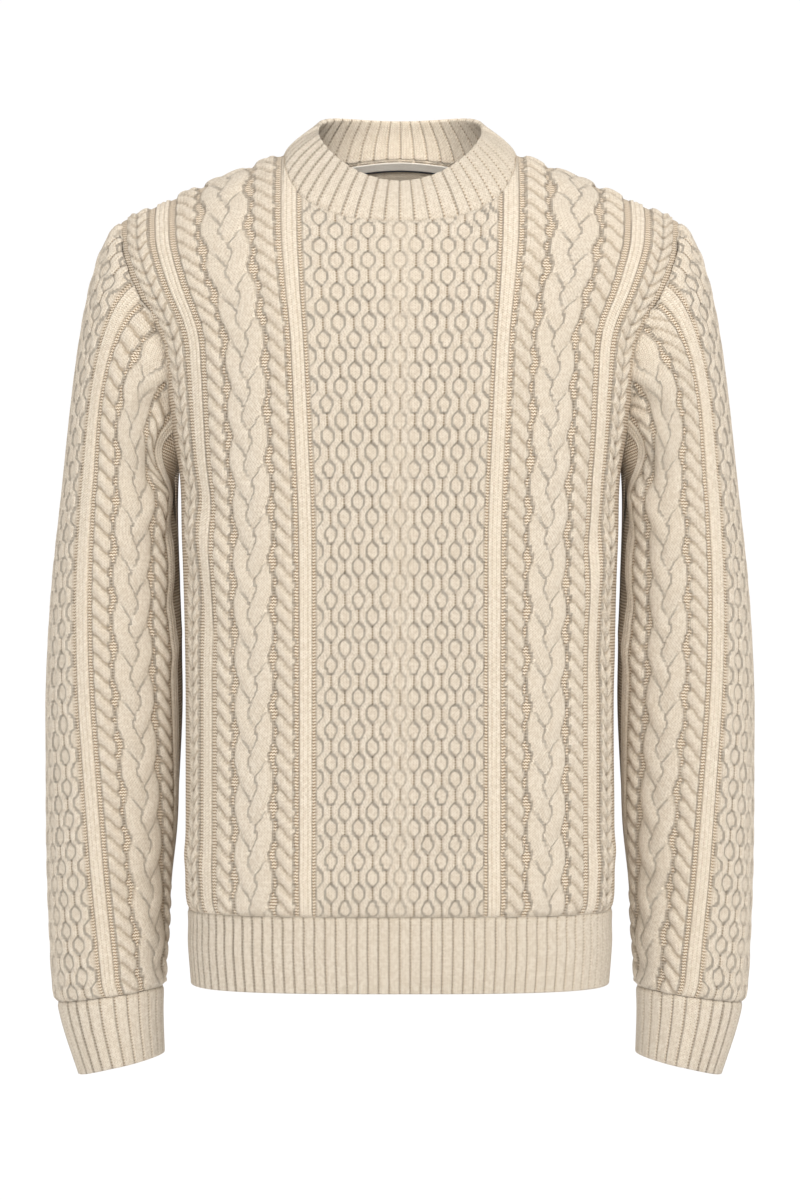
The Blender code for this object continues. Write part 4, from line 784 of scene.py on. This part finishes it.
def collar_surface(angle, v):
    base, lean = neck_base(angle)
    top = collar_top(angle)
    rise = unit(top - base)
    out = unit(lean - (lean * rise).sum(axis=1, keepdims=True) * rise)
    return base + (top - base) * v[:, None] + out * COLLAR_BULGE * np.sin(math.pi * v)[:, None]


def collar_ring():
    turn = np.linspace(-math.pi, math.pi, RING_POINTS)
    arc = lengths(collar_surface(turn, np.full(RING_POINTS, COLLAR_EVEN)))

    def at(s, v):
        angle = np.interp(s, arc / arc[-1], turn)
        points = collar_surface(angle, v)
        across = collar_surface(angle + TURN_STEP, v) - collar_surface(angle - TURN_STEP, v)
        above, below = np.clip(v + COLLAR_STEP, 0, 1), np.clip(v - COLLAR_STEP, 0, 1)
        normals = unit(np.cross(across, collar_surface(angle, above) - collar_surface(angle, below)))
        normals *= np.sign((normals[:, :2] * points[:, :2]).sum(axis=1, keepdims=True))
        share = smooth(1 - v / COLLAR_TURN)[:, None]
        return points, unit(normals * (1 - share) + neck_base(angle)[1] * share)

    return at


# ---------------------------------------------------------------- fine meshes
def columns(honey, motifs, last_u):
    """Wale coordinates at even steps inside every column of the pattern."""
    ends = [honey] + [middle + COLUMN_HALF[kind] for kind, middle in motifs]
    starts = [middle - COLUMN_HALF[kind] for kind, middle in motifs] + ends[-1:]
    breaks = [honey] + [(a + b) / 2 for a, b in zip(starts, ends)] + [last_u]
    half = [np.arange(int(round(honey / HONEY_PITCH)) * HONEY_STEPS) / HONEY_STEPS * HONEY_PITCH]
    kinds = ["plain"] + [kind for kind, _ in motifs] + ["plain"]
    for a, b, kind in zip(breaks, breaks[1:], kinds):
        count = max(1, int(round((b - a) / (RIB_STEP if kind == "rib" else FINE_U))))
        half.append(a + (b - a) * np.arange(count) / count)
    return both_ways(np.r_[np.concatenate(half), last_u])


def thinned(count):
    """Every few rows or columns of the outside, always with both ends."""
    return np.unique(np.r_[np.arange(0, count, COARSE), count - 1])


def share_of(values):
    return (values - values[0]) / max(values[-1] - values[0], NOTHING)


def put_in_scene(name, data):
    made = bpy.data.objects.new(name, data)
    bpy.context.scene.collection.objects.link(made)
    return made


class Sheet:
    """Collects the grids of one piece into a mesh whose vertices carry the stitch attributes."""

    def __init__(self, name):
        self.name, self.count = name, 0
        self.points, self.stitches, self.marks, self.faces = [], [], [], []

    def add(self, points, stitches, marks=(0.0, 0.0)):
        """Vertices of a grid, and their indices in its shape. The last argument holds the groove and the
        crease, where painted shade goes.
        """
        shape = points.shape[:-1]
        index = self.count + np.arange(math.prod(shape)).reshape(shape)
        self.points.append(points.reshape(-1, 3))
        self.stitches.append(stitches.reshape(-1, 4))
        self.marks.append(np.broadcast_to(marks, shape + (2,)).reshape(-1, 2))
        self.count += index.size
        return index

    def quads(self, index):
        corners = [index[:-1, :-1], index[1:, :-1], index[1:, 1:], index[:-1, 1:]]
        self.faces += np.stack(corners, axis=-1).reshape(-1, 4).tolist()

    def tube(self, grid, values, closed=False):
        """A grid whose last row joins its first; its ends are capped or, where closed, join each other."""
        index = self.add(np.array(grid), np.array(values))
        index = np.vstack([index, index[:1]])
        if closed:
            index = np.column_stack([index, index[:, 0]])
        else:
            self.faces += [index[:-1, col].tolist() for col in (0, -1)]
        self.quads(index)

    def strip(self, first, second, first_keys, second_keys):
        """Triangles between two rows of vertices whose keys both rise."""
        i = j = 0
        while i < len(first) - 1 or j < len(second) - 1:
            if j == len(second) - 1 or (i < len(first) - 1 and first_keys[i + 1] <= second_keys[j + 1]):
                face = (first[i], second[j], first[i + 1])
                i += 1
            else:
                face = (first[i], second[j], second[j + 1])
                j += 1
            if len(set(face)) == 3:
                self.faces.append([int(v) for v in face])

    def made(self, material, across=1):
        """The mesh object; across -1 mirrors it."""
        data = bpy.data.meshes.new(self.name)
        points = np.concatenate(self.points) * np.array([across, 1, 1])
        data.from_pydata(points.tolist(), [], self.faces)
        marks = np.column_stack([np.concatenate(self.marks), np.zeros(self.count), np.ones(self.count)])
        for name, values in ((STITCHES, np.concatenate(self.stitches)), (SHADE_MARKS, marks)):
            layer = data.attributes.new(name, "FLOAT_COLOR", "POINT")
            layer.data.foreach_set("color", values.astype(np.float32).ravel())
        mesh = bmesh.new()
        mesh.from_mesh(data)
        bmesh.ops.recalc_face_normals(mesh, faces=mesh.faces)
        mesh.to_mesh(data)
        mesh.free()
        data.shade_smooth()
        data.materials.append(material)
        return put_in_scene(self.name, data)


def laid_out(sheet, cut, u, t, joined=None):
    """One grid of outside and inside faces. cut is the cloth, its pattern, its folds, and edge(u, t), the
    distance to the side seams and the armhole. joined gives a column of outer vertices to share."""
    cloth, pattern, folds, edge = cut
    u, t = np.broadcast_arrays(u, t)
    first, last = cloth.span(u)
    points, normals = cloth.at(u, t)
    knit = knitted(u, t, *pattern)
    to_end = np.minimum(t - first, last - t)
    lift = sunk(knit.height, to_end, np.minimum(to_end, edge(u, t)))[..., None]
    bent = creased(u, t, folds)[..., None]
    stitches = np.stack([knit.wales, t / COURSE, knit.height * 1000, knit.plain], axis=-1)
    marks = np.stack([knit.groove, knit.crease], axis=-1)
    out = sheet.add(points + normals * (lift + bent), stitches, marks)
    if joined is not None:
        out = np.column_stack([joined, out])
    sheet.quads(out)

    rows, cols = thinned(t.shape[0]), thinned(t.shape[1])
    pick = np.ix_(rows, cols)
    reverse = [u[pick] / PURL_WALE, t[pick] / COURSE, 0 * u[pick] + INSIDE_HEIGHT, 0 * u[pick] + INSIDE_PLAIN]
    ins = sheet.add((points - normals * (WALL - bent))[pick], np.stack(reverse, axis=-1))
    sheet.quads(ins)
    return out, ins, rows, cols


def torso_sheet(name, cloth, side, folds):
    """The wide middle of a panel runs from seam to seam; the plain strips beside it end at the armhole."""
    sheet = Sheet(name)
    bare = float(cloth.span(PAST_EDGE_U)[1])

    def edge(u, t):
        armhole = np.hypot(np.maximum(EDGE_U - np.abs(u), 0), np.maximum(bare - t, 0))
        return np.minimum(np.where(np.abs(u) > EDGE_U, 1.0, armhole), SIDE_U - np.abs(u))

    cut = (cloth, (BODY_HONEY, BODY_MOTIFS, -side), folds, edge)
    u = columns(BODY_HONEY, BODY_MOTIFS, EDGE_U)
    last = cloth.span(u)[1]
    longest = float(last.max())
    share = np.linspace(0, 1, int(round(longest / FINE_T)) + 1)[:, None]
    above = np.clip((share - LEVEL_ROWS) / (1 - LEVEL_ROWS), 0, 1)
    t = np.minimum(share, LEVEL_ROWS) * longest + above * (last - LEVEL_ROWS * longest)
    out, ins, rows, cols = laid_out(sheet, cut, u, t)

    rise = t[:, 0]
    fork = int(np.argmin(np.abs(rise - bare)))
    low_rows = rows[rows <= fork]
    last_low = len(low_rows) - 1
    along = rise[: fork + 1] / rise[fork]
    wale = np.linspace(EDGE_U, SIDE_U, int(round((SIDE_U - EDGE_U) / STRIP_STEP)) + 1)
    down = along[:, None] * cloth.span(wale[1:])[1]
    ends = {}
    for way, col in ((-1, 0), (1, -1)):
        strip, inner, low, wide = laid_out(sheet, cut, way * wale[1:], down, joined=out[: fork + 1, col])
        inner_wale = wale[1:][wide]
        sheet.strip(ins[: last_low + 1, col], inner[:, 0], rise[low_rows] / rise[fork], along[low])
        sheet.strip(strip[:, -1], inner[:, -1], along, along[low])
        sheet.strip(strip[-1], np.r_[ins[last_low, col], inner[-1]], wale, np.r_[EDGE_U, inner_wale])
        up_out, up_ins = share_of(rise[fork:]), share_of(rise[rows[last_low:]])
        sheet.strip(out[fork:, col], ins[last_low:, col], up_out, up_ins)
        ends[way] = strip[0, 1:], inner[0]
    sheet.strip(
        np.r_[ends[-1][0][::-1], out[0], ends[1][0]],
        np.r_[ends[-1][1][::-1], ins[0], ends[1][1]],
        np.r_[-wale[:0:-1], u, wale[1:]],
        np.r_[-inner_wale[::-1], u[cols], inner_wale],
    )
    sheet.strip(out[-1], ins[-1], u, u[cols])
    return sheet


def sleeve_sheet(name, cloth, hand, folds):
    sheet = Sheet(name)
    u = columns(SLEEVE_HONEY, SLEEVE_MOTIFS, SLEEVE_U)
    first, last = cloth.span(u)
    share = np.linspace(0, 1, int(round((last - first).max() / FINE_T)) + 1)
    t = first + share[:, None] * (last - first)
    cut = (cloth, (SLEEVE_HONEY, SLEEVE_MOTIFS, hand), folds, lambda u, t: SLEEVE_U - np.abs(u))
    out, ins, rows, cols = laid_out(sheet, cut, u, t)
    for end in (0, -1):
        sheet.strip(out[end], ins[end], u, u[cols])
    for end in (0, -1):
        sheet.strip(out[:, end], ins[:, end], share, share[rows])
    return sheet


def band_sheet(name, ring_at, ribs, height, free_end=0.0, closed=True, inner_raise=0.0):
    """Ribs run up the band and round its free edge, at v = free_end; the other edge meets the seam."""
    sheet = Sheet(name)
    count = ribs * BAND_STEPS
    s = np.arange(count if closed else count + 1) / count
    in_rib = np.mod(s * ribs, 1)
    land = smooth((1 - np.abs(in_rib - 0.5) * 2) / (1 - BAND_LAND))
    inward = -WALL - inner_raise * (land - INNER_LEVEL)
    # The heights carried here set the painted recess shade: some in a band's grooves, and all of it on the
    # smooth inside, at -1.
    ribbed = (BAND_RAISE * land * 1000, (land > 0.5) * 1.0)
    smooth_side = (0 * s - 1.0, 0 * s)
    grid, values = [], []

    def ring(from_free):
        return ring_at(s, np.full(len(s), abs(free_end - from_free)))

    away = -unit(ring(EDGE_LOOK)[0] - ring(0.0)[0])

    def row(from_free, depth, beyond, look):
        points, normals = ring(from_free)
        grid.append(points + normals * depth[:, None] + away * beyond)
        courses = np.full(len(s), (from_free * height - beyond) / COURSE)
        values.append(np.stack([in_rib * (BAND_WALES + 1), courses, *look], axis=-1))

    def raised(from_free):
        to_seam = (1 - from_free) * height
        return sunk(BAND_RAISE * land, to_seam, to_seam)

    for from_free in np.linspace(1, 0, int(round(height / BAND_ROW))):
        row(from_free, raised(from_free), 0.0, ribbed)
    middle, half = (raised(0.0) + inward) / 2, (raised(0.0) - inward) / 2
    for angle in np.linspace(0, math.pi, EDGE_TURNS + 2)[1:-1]:
        row(0.0, middle + half * math.cos(angle), EDGE_ROUND * math.sin(angle), ribbed)
    for from_free in np.linspace(0, 1, INNER_ROWS):
        row(from_free, inward, 0.0, ribbed if inner_raise else smooth_side)
    sheet.tube(grid, values, closed)
    return sheet


def strip_sheet(name, low, high, reach, lift, thickness):
    """A flat strip sewn inside the back neck, low and high below the neckline along the cloth, with soft
    long edges."""
    sheet = Sheet(name)
    x = np.linspace(-reach, reach, int(round(2 * reach / STRIP_STEP)) + 1)
    at = np.interp(np.abs(x), *NECK_EDGES[BACK]) * np.sign(x)
    last = PANELS[BACK].span(at)[1]
    drops = np.linspace(low, high, max(3, int(round((low - high) / TAPE_ROW)) + 1))
    half = thickness / 2
    loop = [(drop, lift) for drop in drops[::-1]] + [(low + half, lift + half)]
    loop += [(drop, lift + thickness) for drop in drops] + [(high - half, lift + half)]
    grid, values = [], []
    for drop, depth in loop:
        points, normals = PANELS[BACK].at(at, last - drop)
        grid.append(points - normals * (WALL + depth))
        values.append(np.stack([x / PURL_WALE, 0 * x + drop / COURSE, 0 * x, 0 * x], axis=-1))
    sheet.tube(grid, values)
    return sheet


# ---------------------------------------------------------------- materials
class Nodes:
    """Short hand for wiring the shader of one material."""

    def __init__(self, name, surface):
        self.material = bpy.data.materials.new(name)
        self.material.use_nodes = True
        self.tree = self.material.node_tree
        self.shader = self.tree.nodes["Principled BSDF"]
        for key, value in surface.items():
            self.shader.inputs[key].default_value = value

    def put(self, kind, **settings):
        node = self.tree.nodes.new(kind)
        for key, value in settings.items():
            setattr(node, key, value)
        return node

    def wire(self, value, socket):
        if isinstance(value, bpy.types.NodeSocket):
            self.tree.links.new(value, socket)
        else:
            socket.default_value = value

    def math(self, operation, *values):
        node = self.put("ShaderNodeMath", operation=operation)
        for value, socket in zip(values, node.inputs):
            self.wire(value, socket)
        return node.outputs[0]

    def times(self, first, *others):
        for other in others:
            first = self.math("MULTIPLY", first, other)
        return first

    def plus(self, first, second):
        return self.math("ADD", first, second)

    def minus(self, first, second):
        return self.math("SUBTRACT", first, second)

    def fraction(self, value):
        return self.math("FRACT", value)

    def arch(self, value):
        """Rises from 0 to 1 and falls back as a value between 0 and 1 grows."""
        return self.math("SINE", self.times(value, math.pi))

    def blend(self, share, first, second):
        node = self.put("ShaderNodeMix", data_type="RGBA")
        self.wire(share, node.inputs["Factor"])
        for value, socket in ((first, node.inputs[6]), (second, node.inputs[7])):
            self.wire(value if isinstance(value, bpy.types.NodeSocket) else (*value, 1.0), socket)
        return node.outputs[2]

    def between(self, value, low, high):
        node = self.put("ShaderNodeMapRange", interpolation_type="SMOOTHSTEP")
        for given, name in ((value, "Value"), (low, "From Min"), (high, "From Max")):
            self.wire(given, node.inputs[name])
        return node.outputs["Result"]

    def noise(self, scale, detail):
        node = self.put("ShaderNodeTexNoise")
        for given, name in ((self.place(), "Vector"), (scale, "Scale"), (detail, "Detail")):
            self.wire(given, node.inputs[name])
        return node.outputs["Fac"]

    def place(self):
        return self.put("ShaderNodeTexCoord").outputs["Object"]

    def carried(self, name):
        """The four numbers that the mesh carries under a name."""
        source = self.put("ShaderNodeAttribute", attribute_name=name)
        parts = self.put("ShaderNodeSeparateColor")
        self.wire(source.outputs["Color"], parts.inputs[0])
        return *parts.outputs, source.outputs["Alpha"]

    def finished(self, colour, height=None, depth=0.0):
        """The material, with its colour and the bump of its height."""
        self.wire(colour, self.shader.inputs["Base Color"])
        if height is not None:
            node = self.put("ShaderNodeBump")
            for given, name in ((height, "Height"), (depth, "Distance"), (1.0, "Strength")):
                self.wire(given, node.inputs[name])
            self.wire(node.outputs["Normal"], self.shader.inputs["Normal"])
        return self.material


def knit_material():
    """Wool yarn. Knit stitches are rows of V shapes; purl stitches are short staggered bars. Its colour
    paints shade on low ground, between purl bars, at the borders and holes of knit stitches, in cable creases
    and along honeycomb grooves.
    """
    n = Nodes("knit_wool", WOOL_SURFACE)
    wales, courses, height, plain = n.carried(STITCHES)
    grooves, creases, _, _ = n.carried(SHADE_MARKS)
    ground = n.minus(1.0, plain)

    aside = n.math("ABSOLUTE", n.minus(n.fraction(wales), 0.5))
    leg = n.minus(1.0, n.math("POWER", n.times(n.minus(aside, 0.25), 4.0), 2.0))
    loop = n.arch(n.fraction(n.minus(courses, n.times(aside, V_SLANT))))
    knit = n.times(n.plus(n.times(leg, LEG_SHARE), 1 - LEG_SHARE), n.math("POWER", loop, LOOP_POWER))
    purl = n.arch(n.fraction(n.plus(n.times(courses, PURL_ROWS), n.times(aside, PURL_SLANT))))
    groove_shade_dots = n.between(n.arch(n.fraction(courses)), *GROOVE_SHADE_ROW_FADE)

    colour = n.blend(n.between(n.noise(*MOTTLE), *MOTTLE_FADE), YARN_DEEP, YARN_PALE)
    for share, over in (
        (n.times(n.between(n.noise(*WIDE), *WIDE_FADE), WIDE_SHARE), YARN_WARM),
        # From here to the dots, each blend is painted shade: low ground, gaps between purl bars, stitch
        # borders and holes, cable creases and honeycomb grooves.
        (n.times(n.between(height, *RECESS_SHADE_FADE), RECESS_SHADE_SHARE), RECESS_SHADE),
        (n.times(n.between(purl, *BAR_GAP_SHADE_FADE), ground, BAR_GAP_SHADE_SHARE), GAP_SHADE),
        (n.times(n.between(aside, *BORDER_SHADE_FADE), n.between(loop, *BORDER_LOOP_SHADE_FADE), plain, BORDER_SHADE_SHARE), CREVICE_SHADE),
        (n.times(n.between(knit, *HOLE_SHADE_FADE), plain, HOLE_SHADE_SHARE), CREVICE_SHADE),
        (n.times(creases, CREASE_SHADE_SHARE), CREVICE_SHADE),
        (n.times(n.between(grooves, *GROOVE_SHADE_FADE), groove_shade_dots, GROOVE_SHADE_SHARE), GAP_SHADE),
        (n.times(n.between(n.noise(*FLECKS), *FLECK_FADE), FLECK_SHARE), FLECK),
    ):
        colour = n.blend(share, colour, over)
    stitches = n.plus(n.times(knit, plain), n.times(purl, ground))
    return n.finished(colour, n.plus(stitches, n.times(n.noise(*FIBRES), FIBRE_SHARE)), STITCH_DEPTH)


def woven_material(name, colours, roughness):
    """Plain woven tape: fine crossing threads."""
    n = Nodes(name, {"Roughness": roughness})
    axes = n.put("ShaderNodeSeparateXYZ")
    n.wire(n.place(), axes.inputs[0])
    along, up = (n.math("SINE", n.times(axes.outputs[axis], THREADS)) for axis in (0, 2))
    weave = n.times(along, up)
    spot = n.noise(*THREAD_NOISE)
    share = n.between(n.plus(n.times(weave, THREAD_SHARE), spot), *THREAD_FADE)
    return n.finished(n.blend(share, *colours), n.plus(weave, spot), THREAD_DEPTH)


def backdrop_material():
    n = Nodes("backdrop_white", BACKDROP_SURFACE)
    return n.finished(n.blend(n.times(n.noise(*BACKDROP_NOISE), BACKDROP_SHARE), *BACKDROP_COLOURS))


# ---------------------------------------------------------------- the studio
def backdrop():
    """A white bowl: a floor that bends up into a round wall."""
    flat = BOWL_RADIUS - BOWL_BEND
    bend = [math.pi / 2 * k / BEND_STEPS for k in range(BEND_STEPS + 1)]
    profile = [(flat / 2, 0.0)]
    profile += [(flat + BOWL_BEND * math.sin(a), BOWL_BEND * (1 - math.cos(a))) for a in bend]
    profile += [(BOWL_RADIUS, BOWL_TOP)]
    points, faces = [(0.0, 0.0, FLOOR_Z)], []
    for ring, (radius, height) in enumerate(profile):
        first = 1 + ring * BOWL_SIDES
        for k in range(BOWL_SIDES):
            turn = 2 * math.pi * k / BOWL_SIDES
            points.append((radius * math.cos(turn), radius * math.sin(turn), FLOOR_Z + height))
            here, after = first + k, first + (k + 1) % BOWL_SIDES
            faces.append((here - BOWL_SIDES, here, after, after - BOWL_SIDES) if ring else (0, here, after))
    data = bpy.data.meshes.new("backdrop")
    data.from_pydata(points, [], faces)
    data.shade_smooth()
    data.materials.append(backdrop_material())
    put_in_scene("backdrop", data)


def light(name, kind, place, aim, power, colour, form):
    data = bpy.data.lights.new(name, kind)
    for key, value in {"energy": power, "color": colour, **form}.items():
        setattr(data, key, value)
    lamp = put_in_scene(name, data)
    lamp.location = place
    lamp.rotation_euler = (Vector(aim) - Vector(place)).to_track_quat("-Z", "Y").to_euler()


def studio():
    scene = bpy.context.scene
    backdrop()
    for row in LIGHTS:
        light(*row)
    scene.world = bpy.data.worlds.new("studio")
    scene.world.use_nodes = True
    sky = scene.world.node_tree.nodes["Background"]
    sky.inputs["Color"].default_value = WHITE
    sky.inputs["Strength"].default_value = BACKDROP_GLOW
    lens = bpy.data.cameras.new("photo_camera")
    lens.lens, lens.sensor_width, lens.sensor_fit, lens.clip_end = CAMERA_LENS, FILM_WIDTH, "AUTO", FAR_CLIP
    scene.camera = put_in_scene("photo_camera", lens)
    scene.camera.location = CAMERA_PLACE
    scene.camera.rotation_euler = (math.pi / 2, 0, 0)
    scene.view_settings.view_transform = "Standard"
    scene.view_settings.look = "None"


# ---------------------------------------------------------------- the sweater
TORSOS = {side: Torso(side) for side in (FRONT, BACK)}
PANELS = {side: torso_cloth(torso) for side, torso in TORSOS.items()}
NECK_EDGES = {side: neck_edge(PANELS[side], torso.corner) for side, torso in TORSOS.items()}


def dress(sheet, node, material, flat, area=None, across=1):
    """Makes a sheet's mesh, attaches it to the root and hides the solid's node. The cut's size, flat and
    area, is worked out but not used. A narrow edge that is woven in one with its tape has no cut of its own,
    and flat is None."""
    piece = sheet.made(material, across)
    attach(piece, "root")
    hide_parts(node)
    if flat is not None:
        area = flat[0] * flat[1] if area is None else area
    return piece


def cut_size(cloth, last_u):
    """Width and length of a knitted piece laid flat, and the area of its wale lines side by side."""
    first, last = cloth.span(np.linspace(-last_u, last_u, MEASURES))
    return (2 * last_u, float((last - first).max())), float((last - first).mean() * 2 * last_u)


def band_size(ring_at, height):
    """Length round the middle of a band, and its height."""
    points = ring_at(np.linspace(0, 1, MEASURES), np.full(MEASURES, 0.5))[0]
    return float(lengths(points)[-1]), height


def main():
    wool = knit_material()
    tape = woven_material("tape_woven", TAPE_COLOURS, TAPE_ROUGHNESS)
    dark = woven_material("dark_tape_woven", DARK_COLOURS, DARK_ROUGHNESS)
    names = {FRONT: "front", BACK: "back"}

    for side, folds in ((FRONT, FRONT_FOLDS), (BACK, BACK_FOLDS)):
        flat, area = cut_size(PANELS[side], SIDE_U)
        sheet = torso_sheet(names[side] + "_knit", PANELS[side], side, folds)
        dress(sheet, names[side] + "_panel", wool, flat, area)

    cloth = sleeve_cloth()
    flat, area = cut_size(cloth, SLEEVE_U)
    for across, node in ((1, "sleeve_left"), (-1, "sleeve_right")):
        sheet = sleeve_sheet(node + "_knit", cloth, -across, SLEEVE_FOLDS)
        dress(sheet, node, wool, flat, area, across)

    height = HEM_SEAM_Z - HEM_Z
    for side, torso in TORSOS.items():
        ring, node = hem_ring(torso), "hem_rib_" + names[side]
        sheet = band_sheet(node + "_knit", ring, HEM_RIBS, height, closed=False)
        dress(sheet, node, wool, band_size(ring, height))

    height = CUFF_SEAM_Z - CUFF_Z
    for across, hand in ((1, "left"), (-1, "right")):
        sheet = band_sheet(f"cuff_{hand}_knit", cuff_ring, CUFF_RIBS, height)
        flat = band_size(cuff_ring, height)
        dress(sheet, "cuff_" + hand, wool, flat, across=across)

    ring = collar_ring()
    sheet = band_sheet("neck_rib_knit", ring, COLLAR_RIBS, COLLAR_HEIGHT, 1.0, inner_raise=INNER_RAISE)
    dress(sheet, "neck_rib", wool, band_size(ring, COLLAR_HEIGHT))

    sheet = strip_sheet("neck_tape_edge_woven", *TAPE_EDGE)
    edge = dress(sheet, "neck_tape_edge", dark, None)
    sheet = strip_sheet("neck_tape_woven", *TAPE)
    dress(sheet, "neck_tape", tape, (2 * TAPE_REACH, TAPE_CUT))
    sheet = strip_sheet("neck_label_woven", *LABEL)
    dress(sheet, "neck_label", dark, (2 * LABEL_REACH, LABEL_CUT))


main()
studio()
